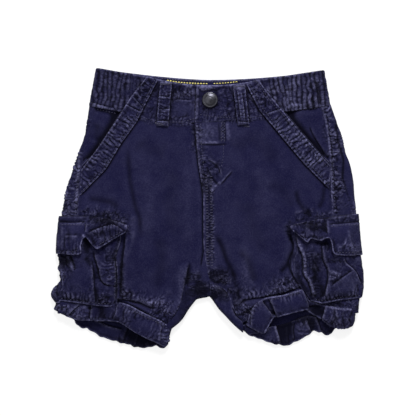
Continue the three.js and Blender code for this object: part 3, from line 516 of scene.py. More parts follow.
# Puckers across a seam: pitch, height, reach left and right of the line's travel, how worn, the line.
PUCKERS = {
    "front_right": [
        [3.4, 1, 10, 1, 1.3, [(-86, -79), (-76, -79), (-64, -80.6), (-57, -83.6), (-45, -88.6),
            (-36, -94)]],
        [3, 0.5, 4, 1, 0.5, [(-36, -101), (-31, -93), (-27, -84)]],
        [3.2, 1, 5, 5, 1.2, [(-56, -90), (-46, -94.6), (-38, -100), (-34, -103)]],
        [3, 0.5, 4, 3, 0.4, [(-72, -11), (-75, -15), (-76, -24)]],
        [3, 0.7, 4, 7, 0.55, [(-74, -12), (-82, -8), (-92, -4), (-104, -2), (-120, -1)]],
        [3, 0.3, 2, 3, 0.3, [(-118, 28), (-119, 10), (-119.4, -4)]],
        [2.6, 0.35, 2.2, 3.2, 0.3, [(-14, 79), (-24, 76.6), (-38, 77), (-52, 79.6), (-66, 84)]],
        [3.4, 0.6, 7, 2, 0.45, [(-8, -54), (-12, -58), (-17, -56), (-19, -64)]],
        [2.8, 0.35, 1, 5, 0.4, [(-14.6, 80), (-14, 62), (-13, 50)]],
    ],
    "front_left": [
        [3.3, 1, 11, 1, 1.3, [(28, -80.6), (38, -78.6), (46, -77.8), (56, -76), (66, -74.4), (76, -70.6),
            (84, -68)]],
        [3.4, 1, 9, 8, 1.3, [(26, -98), (29, -91), (33, -83)]],
        [2.5, 0.9, 2, 1.7, 3.6, [(-2.6, 34), (-1.9, 10), (-1.4, -20), (-1.2, -52)]],
        [2.5, 0.9, 1.6, 2, 3.2, [(1.8, 30), (2, 10), (2.5, -20), (2.8, -50)]],
        [3.4, 0.9, 6, 5, 1.8, [(-7, -57), (2, -57.6), (10, -62), (16, -68), (20, -78)]],
        [3, 0.6, 5, 3, 0.5, [(71, -12), (80, -9.4), (92, -6), (106, -3.6), (118, -1)]],
        [3, 0.3, 3, 2, 0.3, [(108, 28), (110, 10), (111.4, -4)]],
        [2.6, 0.4, 3, 2.4, 0.4, [(-12, 84), (4, 80.6), (22, 80.6), (44, 82), (58, 84)]],
        [3.2, 0.5, 3.6, 3, 0.4, [(69, -10), (71, -24), (75, -34)]],
        [2.8, 0.7, 0.6, 5, 2.4, [(-11.4, 59), (-12, 70), (-12.6, 80)]],
        [3.1, 0.8, 0.6, 8, 1.5, [(-6, 14), (-8, 28), (-10, 42), (-11.2, 58)]],
        [2.6, 0.5, 2, 2, 0.5, [(10.6, 80), (10.6, 60)]],
    ],
    "back_right": [
        [3.4, 1.3, 2, 13, 1.6, [(-117.4, 60), (-118.4, 40), (-119.4, 20), (-120, 0), (-120.4, -8)]],
        [3.4, 0.9, 6, 6, 0.7, [(-136, -64), (-139, -74), (-138, -84)]],
        [3.2, 0.8, 7, 7, 1.2, [(-14, -60), (-10, -70), (-6, -78)]],
        [3.2, 0.4, 4, 4, 0.35, [(-110, 92), (-111.6, 80), (-114, 62)]],
    ],
    "back_left": [
        [3, 1.2, 10, 1, 2.6, [(99, 99), (102.6, 88), (106, 76), (108.6, 58), (110, 40), (110.4, 20),
            (112, 2), (113, -6)]],
        [3.2, 0.6, 4, 5, 0.5, [(120, 14), (126, 6), (131, -2)]],
        [3.2, 0.9, 6, 5, 1.8, [(-6, -66), (4, -67.4), (11, -71), (17, -77)]],
    ],
    "hip_pocket_left": [
        [3.2, 0.4, 3.5, 3.5, 0.4, [(103, 85), (105.4, 70), (108, 52), (109, 42)]],
    ],
    "slant_band_right": [
        [3.9, 1.2, 8, 8, 0.7, [(-74, 90), (-79.4, 81.4), (-97, 55), (-112.4, 34)]],
        [3.6, 1.2, 8, 8, 0.7, [(-65, 88), (-69, 81.4), (-84, 60.2), (-97, 38.4), (-116, 17)]],
        [5, 0.6, 8, 8, 0.6, [(-52, 116), (-60, 104), (-68, 92)]],
    ],
    "slant_band_left": [
        [3.8, 1.3, 8, 8, 1.6, [(64, 86.4), (87.4, 58.4), (106, 38)]],
        [3.6, 1.3, 8, 8, 1.6, [(54, 83), (62.6, 73.8), (87.4, 44), (107.6, 22)]],
        [5, 0.6, 8, 8, 0.8, [(39, 114), (48, 100), (58, 89)]],
    ],
    "cargo_pocket_right": [
        [3.2, 0.9, 13, 1, 1.4, [(-138, -79.4), (-120, -81.4), (-105, -83.6)]],
        [3, 0.6, 7, 1, 0.9, [(-101, -84), (-84, -83.6)]],
        [3, 0.5, 3, 8, 0.5, [(-85.6, -42), (-84.6, -56), (-84.4, -72)]],
        [3.2, 0.9, 6, 6, 0.7, [(-128, -40), (-131, -46), (-136, -54)]],
    ],
    "cargo_pocket_left": [
        [3, 0.9, 9, 1, 0.9, [(96, -82), (101, -82.4), (115, -79.4), (136, -77.2)]],
        [3, 0.6, 7, 0.5, 0.3, [(82.4, -34), (84.6, -45), (84.6, -60), (90, -64), (93, -79)]],
    ],
    "cargo_flap_right": [
        [3.1, 0.5, 5, 2, 0.8, [(-100, -33.6), (-92, -28.6), (-78, -20.6)]],
        [3, 0.6, 1, 11, 0.35, [(-110, -21), (-102, -17), (-94, -14.6), (-86, -13.6), (-78, -15)]],
        [3, 0.5, 2, 5, 0.5, [(-102, -33.4), (-110, -24.6)]],
        [3, 0.9, 1, 7, 0.9, [(-116, -38.6), (-138, -38.4)]],
        [3, 0.8, 5, 5, 0.6, [(-78, -13), (-86, -9.6), (-98, -8.4), (-109, -7.8)]],
        [3, 0.6, 2.6, 2.6, 0.4, [(-109, -4), (-136, -3.4)]],
    ],
    "cargo_flap_left": [
        [3.1, 0.5, 5, 1, 0.8, [(76, -19.6), (82, -24.6), (87, -28.6)]],
        [3.1, 0.6, 7, 1, 0.8, [(88, -25.6), (94, -25.4), (99, -26.6), (104, -24)]],
        [2.8, 0.8, 7, 1, 0.8, [(110, -39.4), (137, -39)]],
        [3, 0.6, 4, 3.4, 0.5, [(74, -13.6), (88, -9.8), (104, -6.6)]],
        [2.8, 0.5, 4, 4, 0.4, [(96, -12), (103, -18)]],
    ],
    "waistband_front_right": [
        [3.2, 0.8, 8, 9, 0.6, [(-52, 108), (-40, 103), (-26, 104), (-13, 105)]],
        [3, 0.5, 4, 4, 0.5, [(-60, 90), (-44, 84), (-30, 82), (-13, 81)]],
    ],
    "waistband_front_left": [
        [3.2, 0.7, 8, 8, 0.6, [(8, 108), (20, 108), (34, 109), (44, 112)]],
        [3, 0.5, 5, 5, 0.5, [(-11, 86), (10, 85), (30, 86), (52, 92)]],
        [2.8, 0.6, 1, 4, 0.4, [(-10.8, 110), (-10.8, 96), (-11.8, 80)]],
    ],
    "belt_loop_right": [
        [3, 0.5, 6, 6, 0.5, [(-39.5, 114.6), (-43, 76)]],
    ],
    "belt_loop_left": [
        [3, 0.5, 6, 6, 0.6, [(26, 112), (30.2, 77)]],
    ],
    "cuff_right": [
        [3.1, 0.9, 1, 7, 0.8, [(-88, -86), (-80, -84.6), (-72, -87), (-65, -91), (-53, -97),
            (-38, -104.6)]],
        [3.3, 0.6, 6, 1, 0.5, [(-128, -94.6), (-119, -97.6), (-105, -98), (-90, -98.6), (-82, -99.4),
            (-70, -106), (-57, -113.6), (-42, -121)]],
        [3.1, 0.9, 1, 12, 1.2, [(-38, -105), (-45, -101), (-52, -98)]],
        [2.9, 1.1, 7, 4, 1.2, [(-39, -122), (-38.4, -112), (-38, -105)]],
        [3.1, 0.9, 6, 6, 0.8, [(-138, -86), (-130, -88), (-124, -91)]],
    ],
    "cuff_left": [
        [3.1, 0.8, 1, 6, 0.8, [(52, -79.6), (65, -77.6), (75, -74.8), (82, -72.4)]],
        [3.1, 0.8, 6, 2, 1, [(38, -106), (37.4, -94), (41, -86), (47, -80)]],
        [3.2, 1.2, 8, 8, 0.9, [(107, -93), (118, -96), (129, -96)]],
        [3, 0.8, 6, 1, 0.8, [(102, -99), (112, -105.4), (126, -105.6)]],
    ],
    "inside_cuff_left": [
        [2.6, 0.3, 1, 4, 0.3, [(50, -113), (56, -117), (62, -120)]],
        [3, 0.7, 1, 6, 0.8, [(76.6, -101.6), (85, -98), (92, -98)]],
        [3.6, 0.6, 5, 1, 0.3, [(64, -122), (80, -118), (96, -109.6), (110, -111)]],
    ],
    "inside_cuff_right": [
        [4, 0.7, 5, 1, 0.3, [(-90, -117.4), (-78, -121), (-66, -124), (-44, -123)]],
    ],
}

# Spots: the middle, half width, half height, how far the cloth stands up or sinks there, how much painted
# shade and darker tone it gets (less of both where below zero), how worn and how rumpled it is.
SPOTS = {
    "front_right": [
        [-76, -78, 7, 5, -0.6, 0.55, 0, 0.9],
        [-80, -60, 2.6, 20, -0.6, 0.7, 0, 0.6],
        [-39, -95, 7, 6, 0, 0.1, 0, 0.9],
        [-44, -88, 8, 5, 0, 0.1, 0, 1],
        [-13, -62, 6, 5, -0.6, 0.5, 0, 0.8],
        [-20, -63, 2.6, 7, -0.6, 0.5, 0, 0.4],
        [-92, -6, 18, 5, 0, 0.35, 0, 0.9],
        [-15, 70, 2, 14, 0, 0.25, 0, 0.3],
    ],
    "front_left": [
        [30, -92, 9, 10, 0, 0.1, 0.1, 1],
        [66, -68, 14, 7, 0, 0.1, 0.1, 1],
        [6, -59, 15, 7, 0, 0.85, 0, 1.1],
        [71.6, -18, 2.8, 8, -0.6, 0.5, 0, 0.3],
        [88, -3, 12, 5, 0, 0.2, 0, 0.8],
        [-7, 68, 5, 12, 0.3, 0, 0.1, 0.3],
        [-1, 70, 10, 10, 0.3, 0, 0.14, 0.2],
        [20, 71, 7, 10, 0.4, 0, 0.06, 0],
        [2, 38, 9, 10, 0, 0.15, 0, 0.7],
        [-6, 24, 5, 10, 0, 0.2, 0.1, 0.8],
        [24, -78, 5, 11, -0.8, 0.7, 0, 0.8],
        [114, -85, 12, 5, 0.4, 0, 0.08, 1],
    ],
    "back_right": [
        [-8, -72, 9, 9, 0, 1, 0, 0.9],
        [-22, -84, 7, 16, -0.6, 0.5, 0, 0.1],
        [-132, -2, 6, 8, 0.4, 0, 0.1, 1],
    ],
    "back_left": [
        [131, -3, 4, 6, 0.8, 0, 0.35, 1],
        [10, -74, 11, 8, 0, 0.75, 0, 1],
        [126, 30, 4, 30, 0.5, -0.6, -0.6, -0.6],
        [126, -85, 14, 5, 0.4, 0, 0.08, 1],
        [114, 30, 4, 50, 0, 0.1, 0, 0.5],
    ],
    "hip_pocket_right": [
        [-84, 84, 5, 5, -1, 1, 0, 0],
    ],
    "hip_pocket_left": [
        [73, 88, 5, 5, -1, 0.7, 0, 0],
    ],
    "cargo_pocket_right": [
        [-110.4, -31, 3.8, 7, -3, 1.4, 0, 0],
        [-108, -44, 3.4, 7, -0.8, 0.35, 0, 0],
        [-101.8, -56, 2.6, 8, -1.2, 0.5, 0, 0.2],
        [-131.5, -46, 7, 6, -1, 1, 0, 0.9],
        [-91, -57, 6, 8, 0.8, -0.2, 0, 0.5],
        [-116, -60, 10, 10, 0.8, -0.3, 0, -0.3],
        [-134, -56, 4, 6, 0.6, 0, 0.4, 0.8],
        [-140, -72, 4, 7, 0.5, 0, 0.3, 0.8],
        [-96, -80, 6, 5, 0.4, 0.1, 0.1, 0.8],
        [-89, -41, 5, 8, -0.4, 0.4, 0, 0.3],
        [-84.4, -62, 2.2, 18, 0, 0.4, 0, 0.6],
    ],
    "cargo_pocket_left": [
        [99, -29.6, 6, 2.4, -1, 0.6, 0, 0],
        [104.6, -33, 3.4, 5, -2, 0.5, 0, 0.5],
        [97, -46, 4, 9, -0.6, 0.4, 0, 0.3],
        [92, -46, 5, 10, 0, 0.5, 0.05, 0.8],
        [124, -67, 10, 8, 0.9, -0.3, 0.1, -0.2],
        [96, -68, 5, 10, -1, 0.6, 0, 0.4],
        [79.4, -49, 3, 9, -1.4, 0, 0, 0],
        [112, -45, 8, 3, -0.8, 0.5, 0, 0.3],
        [113, -60, 6, 6, 0, 0.1, 0.1, 0.6],
    ],
    "cargo_flap_right": [
        [-92, -9, 18, 5, 0, 0.75, 0, 1],
        [-92, -20, 15, 9, 0, 0.34, 0, 0.1],
        [-118, -18, 8, 5, 0.3, -0.4, 0, -0.4],
        [-113, -23.4, 1.4, 1.4, 0.5, 0, 1, 0],
        [-100.6, -34.4, 1.4, 1.4, 0.3, 0, 1, 0],
        [-75.6, -14.6, 1.6, 1.6, 0.3, 0, 1, 0],
    ],
    "cargo_flap_left": [
        [88, -12, 13, 4, 0, 0.6, 0, 0.9],
        [89, -20, 12, 6, 0, 0.3, 0, 0.2],
        [99, -16, 5, 5, -0.6, 0.35, 0, 0.6],
        [116, -20, 10, 6, 0.3, -0.4, 0, -0.4],
        [122, -8.4, 20, 2.8, 0, 0.35, 0, 0.7],
        [128, -34, 8, 4, 0, 0, 0.2, 0.8],
        [73.4, -14.8, 1.6, 1.6, 0.3, 0, 1, 0],
    ],
    "waistband_front_right": [
        [-33, 105, 18, 6, 0, 0.4, 0, 0.5],
        [-40, 88, 16, 8, 0, 0.25, 0, 0.1],
        [-26, 91, 8, 6, 0.3, -0.2, 0.04, -0.3],
    ],
    "waistband_front_left": [
        [-4, 111, 6, 2.4, 0.4, -0.6, 0.9, 0],
        [0, 90, 10, 3, -0.2, 0.15, 0, 0.2],
        # painted shadow round the snap cap
        [0, 98.8, 9.4, 9.4, 0, 0.8, 0, 0],
        [17, 95, 6, 14, 0, 0.1, 0, 0.3],
        [42, 100, 8, 14, 0, 0.1, 0, 0.4],
    ],
    "slant_band_right": [
        [-60, 104, 9, 16, 0, 0.15, 0, 0.6],
    ],
    "slant_band_left": [
        [46, 102, 9, 16, 0, 0.15, 0, 0.6],
    ],
    "belt_loop_left": [
        [26.4, 111, 4, 3.4, 0.3, -0.6, 0.9, 0],
    ],
    "cuff_right": [
        [-97, -92, 10, 8, -0.6, 0.45, 0, -0.6],
        [-60, -106, 14, 7, 0.3, -0.3, 0, -0.6],
        [-108, -88.4, 2.6, 1.8, -2, 1, 0, 0],
        [-86.4, -82.6, 4.6, 2, -1.6, 1, 0, 0],
        [-134, -88, 7, 6, 0.5, 0, 0.2, 0.9],
        [-116, -93, 8, 6, 1, -0.2, 0.1, 0.3],
    ],
    "cuff_left": [
        [46, -96, 7, 9, 0.3, -0.3, 0, -0.4],
        [71, -83, 11, 7, 0.4, -0.4, 0, -0.7],
        [97, -91, 6, 7, -1, 0.6, 0, -0.7],
        [109, -84.6, 5, 2, -2, 1, 0, 0],
        [118, -97, 12, 9, 0.5, -0.1, 0.04, 0.3],
    ],
    "inside_cuff_right": [
        [-62, -115, 16, 9, -0.3, 1, 0, -0.8],
        [-100, -106, 18, 9, 0.5, -0.1, 0, -0.8],
        [-57, -121.6, 2, 1.4, 0.4, 0, 0.6, 0.3],
    ],
    "inside_cuff_left": [
        [68, -104, 7, 16, -0.4, 1, 0, -0.8],
        [78, -96, 16, 4, -0.4, 1, 0, 0],
        [52, -112, 9, 7, 0.6, -0.4, 0.1, -0.4],
        [83, -108, 6, 7, 0.6, -0.5, 0.15, 0.5],
        [92, -103, 4, 6, -0.6, 0.7, 0, 0.3],
        [106, -107, 6, 5, 0.8, 0.2, 0, 0],
    ],
}

# How rumpled a piece is all over, from 0, smooth, to 1.
RUMPLED = {
    "front": 0.03, "back": 0.12, "hip_pocket": 0.06, "waistband_front": 0.42, "waistband": 0.5,
    "slant_band": 0.35, "belt_loop": 0.6, "cargo_pocket": 0.35, "cargo_flap": 0.3, "cuff": 0.4,
    "inside_cuff": 0.1, "inside_back": 0.1,
}
# How far the puckers of a piece stray from straight.
BENT = {"front": 0.9, "back": 0.9, "slant_band": 0.3}
# How dark a piece is made all over: partly painted shade where it lies deeper than the rest, partly a darker
# tone of its cloth.
DARKENED = {
    "inside_cuff": 0.35, "back": 0.06, "hip_pocket": 0.06, "cargo_pocket": 0.1, "cuff": 0.07,
    "waistband": 0.1, "waistband_front": 0.06,
}

# How worn the upper, lower, first and last edge of a piece are, by its name or its kind.
WORN_EDGES = {
    "front_right": (0, 0, 0, 0.45),
    "front_left": (0, 0, 0.5, 0.45),
    "waistband_front_right": (0.8, 0.35, 0, 0),
    "waistband_front_left": (0.8, 0.35, 0.7, 0),
    "waistband_back": (0.5, 0.5, 0, 0),
    "slant_band": (0.5, 0.4, 0.85, 0.7),
    "belt_loop": (0.9, 0.6, 0.7, 0.7),
    "cargo_pocket_right": (0, 0.9, 0.7, 0),
    "cargo_pocket_left": (0, 0.9, 0.3, 0),
    "cargo_flap": (0.3, 1.0, 0.6, 0),
    "cuff": (0.5, 0.7, 0, 0),
}

# Rows of stitches on what shows: pitch, length, thread radius, the line.
NAVY_STITCHES = [
    [2.6, 1.8, 0.3, [(10.2, 79), (10.2, 60.5)]],
    [2.6, 1.8, 0.3, [(13, 79), (13, 60.5)]],
    [2.6, 1.8, 0.2, [(12, 59), (12.2, 48), (9.6, 37)]],
    [2.6, 1.8, 0.26, [(-8.4, 78), (-8.2, 66), (-7, 50), (-5.6, 38)]],
    [2.6, 1.8, 0.26, [(-60.2, 116), (-73.6, 98), (-84, 81), (-101.6, 54.6), (-115.8, 34)]],
    [2.6, 1.8, 0.26, [(-49.6, 117), (-59.4, 97), (-68.4, 79.4), (-83.2, 58), (-96.2, 35.8),
        (-116.4, 15.6)]],
    [2.6, 1.8, 0.26, [(41.6, 115.6), (53.8, 99), (66, 85), (88, 59), (106.4, 38.4)]],
    [2.6, 1.8, 0.26, [(35.6, 112.4), (47.4, 91), (62.2, 73.6), (87, 44), (107, 22.4)]],
    [2.8, 1.9, 0.26, [(-137, -36.8), (-119, -37.6), (-117.4, -31)]],
    [2.8, 1.9, 0.26, [(-101, -32), (-90, -26), (-79, -19.4)]],
    [2.8, 1.9, 0.26, [(112, -37.6), (120, -38), (135, -37.4)]],
    [2.8, 1.9, 0.26, [(86.8, -26.4), (80, -21)]],
    [2.8, 1.9, 0.26, [(-134, -79.2), (-120, -80.8), (-101, -83.8), (-88, -84.4)]],
    [2.8, 1.9, 0.26, [(94.4, -79.8), (101, -81.8), (115, -78.8), (135, -76.8)]],
    [2.8, 1.9, 0.26, [(85.8, -46), (85.8, -60), (91, -64.6), (94.6, -78)]],
    [2.8, 1.9, 0.26, [(-85.6, -44), (-85.2, -60), (-85.8, -80)]],
    [2.6, 1.8, 0.26, [(-133, -13), (-120, -13.2), (-106, -13.4)]],
    [2.6, 1.8, 0.26, [(133, -13.4), (120, -13.2), (106, -15.2)]],
    [2.6, 1.8, 0.28, [(52.4, -80.6), (65, -78.8), (75, -75.8), (81.6, -73.4)]],
    [2.6, 1.8, 0.28, [(-80, -85.6), (-72, -88), (-63, -93), (-53, -97.8), (-42, -103)]],
    [2.6, 1.8, 0.26, [(-116, 60), (-119.6, 36), (-120.6, 12), (-121.2, -4)]],
    [2.6, 1.8, 0.26, [(107, 84), (109.4, 70), (111, 46), (111.4, 20), (113, 0)]],
    [2.6, 1.8, 0.26, [(-102, 91), (-94, 89.2), (-84, 87)]],
    [2.6, 1.8, 0.26, [(68, 89.4), (82, 90.8), (97, 91.6)]],
    [2.6, 1.8, 0.26, [(-14, 82), (-26, 79.4), (-36, 79.4)]],
    [2.6, 1.8, 0.26, [(-9, 86), (6, 83.4), (22, 83.4)]],
    [2.2, 1.6, 0.3, [(-10, 109.4), (-4, 109.2), (6, 109.6)]],
    [2.4, 1.7, 0.5, [(-44, 119), (-32, 117.7), (-18, 116.8), (0, 116.2), (16, 116.6), (36, 117.4)]],
]
BARTACKS = [
    [(-49.6, 78.4), (-37.4, 75.4)],
    [(24.6, 76.8), (35.6, 75.2)],
    [(-44.6, 113), (-34.6, 113.6)],
    [(21.4, 110.6), (31, 111.6)],
    [(-118, 13.2), (-115.6, 15.2)],
]
# Rungs of thread across a line: pitch, half width, thread radius, the line.
LADDERS = [
    [2.5, 1.4, 0.36, [(-3.4, 32), (-3, 20), (-2.6, 0), (-2.5, -20), (-2.3, -50)]],
    [2.5, 1.3, 0.36, [(1, 30), (1.2, 10), (1.6, -20), (1.9, -50)]],
    [2.6, 0.9, 0.32, [(11.4, 79), (11.4, 61)]],
]
YELLOW_STITCHES = [
    [2.5, 2, 0.66, [(-39, 117.2), (-31, 115.7), (-24, 114.9), (-14, 114.3), (0, 114.1)]],
    [2.5, 2, 0.48, [(3, 114.2), (14, 114.8), (26, 116)]],
]
STITCH_CURVE = 1.5  # spacing of the points of a row's line
HIGHEST_STEP = 1.6  # a stitch that crosses a higher step in the cloth is left out
ONE_STITCH = 9.0  # a pitch longer than the row, which so gets one stitch
# A stitch from end to end: how far along, its height in thread radii and its thickness.
STITCH_SHAPE = [(0.0, -0.9, 0.5), (0.2, 0.25, 0.9), (0.5, 0.6, 1.0), (0.8, 0.25, 0.9), (1.0, -0.9, 0.5)]

# The snap's outline, as radius and height, up to the middle of its dome at the full height.
SNAP_PROFILE = [
    (6.2, 0.0), (6.9, 0.35), (7.0, 0.9), (6.8, 1.35), (6.3, 1.5), (5.9, 1.38), (5.5, 1.42),
    (4.9, 1.75), (4.0, 2.12), (3.2, 2.3), (2.7, 2.32), (2.2, 2.42), (1.2, 2.6), (0.5, 2.68),
]
SNAP_HEIGHT = 2.7

# ---- numbers ---------------------------------------------------------------------------------------


def ramp(start, end, value):
    """From 0 at the start to 1 at the end, eased at both."""
    t = np.clip((value - start) / (end - start), 0, 1)
    return t * t * (3 - 2 * t)


def mix(a, b, t):
    return a + (b - a) * t


def bell(value, width):
    """1 where the value is 0, falling off on both sides within about the width."""
    return np.exp(-((value / width) ** 2))


def lattice(ix, iy, seed):
    """A number from -1 to 1 for each whole-number place, the same on every run."""
    n = (ix.astype(np.int64) * 374761393 + iy.astype(np.int64) * 668265263 + seed * 2147483647) & 0xFFFFFFFF
    n = ((n ^ (n >> 13)) * 1274126177) & 0xFFFFFFFF
    return ((n ^ (n >> 16)) & 0xFFFF) / 32767.5 - 1


def noise(x, y, seed=0):
    """Smooth noise from -1 to 1, with features one unit wide."""
    x, y = np.broadcast_arrays(np.asarray(x, float), np.asarray(y, float))
    ix, iy = np.floor(x), np.floor(y)
    u, v = ramp(0, 1, x - ix), ramp(0, 1, y - iy)
    low = mix(lattice(ix, iy, seed), lattice(ix + 1, iy, seed), u)
    high = mix(lattice(ix, iy + 1, seed), lattice(ix + 1, iy + 1, seed), u)
    return mix(low, high, v)


def clouds(x, y, size, seed, octaves=3):
    """Noise with features of the given size, and smaller and weaker ones on them."""
    total = sum(noise(x / size * 2**k, y / size * 2**k, seed + k) / 2**k for k in range(octaves))
    return total / (2 - 2 ** (1 - octaves))


def unit(vectors):
    """The vectors at length 1."""
    return vectors / np.linalg.norm(vectors, axis=-1, keepdims=True)


# ---- lines -----------------------------------------------------------------------------------------


def lengths_of(line):
    """How far along the line each of its points is."""
    steps = np.linalg.norm(np.diff(line, axis=0), axis=1)
    return np.concatenate([[0], np.cumsum(steps)])


def places_at(wanted, at, line):
    """The columns of a line at the wanted lengths, where at holds the length at each of its rows."""
    return np.stack([np.interp(wanted, at, line[:, k]) for k in range(line.shape[1])], axis=-1)


def spaced(line, count, rounding=0):
    """The line again, through count points at even spacing, with its corners rounded."""
    line = np.asarray(line, float)
    at = lengths_of(line)
    out = places_at(np.linspace(0, at[-1], count), at, line)
    for _ in range(rounding):
        out[1:-1] = (out[:-2] + 2 * out[1:-1] + out[2:]) / 4
    return out


def curve(line, spacing=2.0):
    """A given line made smooth, with points at about the spacing."""
    count = max(2, int(lengths_of(np.asarray(line, float))[-1] / spacing))
    return spaced(line, count + 1, rounding=3)


def beside(line, x, y):
    """Distance from a line, positive on the left of its travel, and how far along it each point is."""
    line = curve(line)
    px, py = x.ravel()[:, None], y.ravel()[:, None]
    start, step = line[:-1], np.diff(line, axis=0)
    size = np.linalg.norm(step, axis=1)
    t = np.clip(((px - start[:, 0]) * step[:, 0] + (py - start[:, 1]) * step[:, 1]) / size**2, 0, 1)
    dx, dy = px - start[:, 0] - t * step[:, 0], py - start[:, 1] - t * step[:, 1]
    best = np.argmin(dx * dx + dy * dy, axis=1)
    rows = np.arange(best.size)
    dx, dy, t = dx[rows, best], dy[rows, best], t[rows, best]
    side = np.sign(step[best, 0] * dy - step[best, 1] * dx)
    along = lengths_of(line)
    reached = along[:-1][best] + t * size[best]
    return (side * np.hypot(dx, dy)).reshape(x.shape), reached.reshape(x.shape), along[-1]


def faded(along, length, reach):
    """From 0 at both ends of a line to 1 past the reach, which is a third of the line at most."""
    reach = min(reach, length / 3)
    return ramp(0, reach, along) * ramp(length, length - reach, along)


# ---- relief ----------------------------------------------------------------------------------------
# Each function adds to the looks of a sheet: its height, wear, darkness (mostly painted shade) and rumpling
# at plan points.


def add_lip(looks, x, y, rise, rise_width, sink, sink_width, wear, shade, line):
    """A raised edge, worn along its crest, over a hollow with painted shade that is darkest right under the
    edge.
    """
    off, along, length = beside(line, x, y)
    fade = faded(along, length, min(10, 0.15 * length))
    up = rise * bell(np.maximum(off, 0), rise_width)
    down = -sink * bell(np.minimum(off, 0), sink_width)
    looks.height += mix(down, up, ramp(-0.5, 0.5, off)) * fade
    looks.worn += 1.35 * wear * bell(off - 0.4, 0.45 + 0.1 * wear) * fade
    soft_shade = 0.6 * bell(np.minimum(off, 0), sink_width * 0.8) * ramp(0.5, -0.5, off)
    looks.dark += shade * (soft_shade + 0.6 * bell(off + 0.7, 0.8)) * fade


def add_crease(looks, x, y, depth, width, shade, wear, line):
    """A ridge, or a valley where the depth is below zero, that strays a little from its line."""
    off, along, length = beside(line, x, y)
    strayed = off + 0.5 * width * noise(along / 14, along * 0, len(line))
    fade = faded(along, length, min(16, 0.2 * length))
    looks.height += depth * bell(strayed, width) * fade
    # Painted shade along the crease, as dark as given; wear along its crest.
    looks.dark += shade * bell(strayed, width * 0.8) * fade
    looks.worn += wear * bell(strayed, width * 0.7) * fade


def add_drawn_in(looks, x, y, line):
    """Beside the edge of what is sewn on, the cloth is drawn in and gets a painted shadow."""
    off, along, length = beside(line, x, y)
    fade = faded(along, length, 3)
    looks.height -= 0.6 * bell(off, 2.0) * fade
    looks.dark += 1.1 * bell(off, 2.0) * fade


def add_puckers(looks, x, y, index, wander, pitch, size, left, right, wear, line):
    """Short ridges across a line, uneven in reach and strength, worn on their tops with painted shade between
    them. index tells one row from the next.
    """
    off, along, length = beside(line, x, y)
    hand = np.where(off > 0, 3.3, -3.3) + index
    uneven = np.clip(0.8 + 0.7 * noise(along / pitch / 1.4, hand, 11), 0.25, 1.4)
    envelope = bell(off, np.where(off > 0, left, right) * uneven) * faded(along, length, 4)
    bend = 0.45 * noise(along / pitch / 2.1, hand, 12) + wander * noise(along / 5, off / 3.4, index + 3)
    wave = 1.7 * np.abs(np.sin(math.pi * (along / pitch + bend))) ** 0.8 - 1
    strength = np.clip(0.7 + 1.1 * noise(along / 4.5, off / 4.5, index + 7), 0.1, 1.5)
    looks.height += size * envelope * wave * strength
    looks.worn += 0.4 * wear * envelope * np.clip(wave * 3.4 - 1.5, 0, 1) * strength
    # Painted shade in the valleys between the puckers.
    looks.dark += 0.9 * envelope * np.clip(-wave, 0, 1) * np.minimum(strength + 0.3, 1)
    looks.rumpled = np.maximum(looks.rumpled, 0.55 * envelope)


def add_spot(looks, x, y, at_x, at_y, half_width, half_height, lift, shade, wear, rough):
    """A soft patch with an uneven edge."""
    edge = 1 + 0.35 * noise(x / 5, y / 5, 71)
    away = ((x - at_x) / half_width) ** 2 + ((y - at_y) / half_height) ** 2
    spot = np.exp(-((away / edge) ** 1.5))
    looks.height += lift * spot
    # Painted shade and darker tone in the patch; a shade below zero takes some away.
    looks.dark += shade * spot
    looks.worn += wear * spot
    looks.rumpled += rough * spot


def add_rumples(looks, x, y, size=3.4, seed=41):
    """Small wrinkles in every direction, as strong as the cloth is rumpled there: worn on their
    crests and with painted shade in their valleys."""
    bent_x = x + 0.7 * size * noise(x / size / 1.6, y / size / 1.6, seed + 5)
    bent_y = y + 0.7 * size * noise(x / size / 1.6, y / size / 1.6, seed + 6)
    crests = 1 - 2.2 * np.abs(noise(bent_x / size, bent_y / size, seed))
    valleys = 1 - 2.2 * np.abs(noise(bent_x / size, bent_y / size, seed + 1))
    small = np.clip(crests, 0, 1) - np.clip(valleys, 0, 1)
    looks.rumpled = np.clip(looks.rumpled, 0, 1)
    looks.height += 0.45 * looks.rumpled * small
    looks.worn += 0.5 * looks.rumpled * np.clip(small * 1.8 - 0.8, 0, 1)
    looks.dark += 1.3 * looks.rumpled * np.clip(-small, 0, 1)


def sewn_edges(name):
    """The edges of the slant band and the belt loop on a panel."""
    kind, _, side = name.rpartition("_")
    if kind not in ("front", "hip_pocket", "waistband_front"):
        return []
    loop = BELT_LOOPS[side]
    half = loop.width / 2
    lines = [*SLANT_BANDS[side]] if kind != "hip_pocket" else [SLANT_BANDS[side][0]]
    return lines + [[(end[0] + sign * half, end[1]) for end in (loop.top, loop.bottom)] for sign in (-1, 1)]


def relief(name, x, y):
    """The looks that the lists above give to a piece at its plan points."""
    kind = name.rpartition("_")[0]
    looks = SimpleNamespace(
        height=np.zeros(x.shape), worn=np.zeros(x.shape),
        dark=np.full(x.shape, DARKENED.get(kind, 0.0)), rumpled=np.full(x.shape, RUMPLED.get(kind, 0.1)),
    )
    for row in LIPS.get(name, []):
        add_lip(looks, x, y, *row)
    for row in CREASES.get(name, []):
        add_crease(looks, x, y, *row)
    for line in sewn_edges(name):
        add_drawn_in(looks, x, y, line)
    for index, row in enumerate(PUCKERS.get(name, [])):
        add_puckers(looks, x, y, index, BENT.get(kind, 0.45), *row)
    for row in SPOTS.get(name, []):
        add_spot(looks, x, y, *row)
    add_rumples(looks, x, y)
    return looks


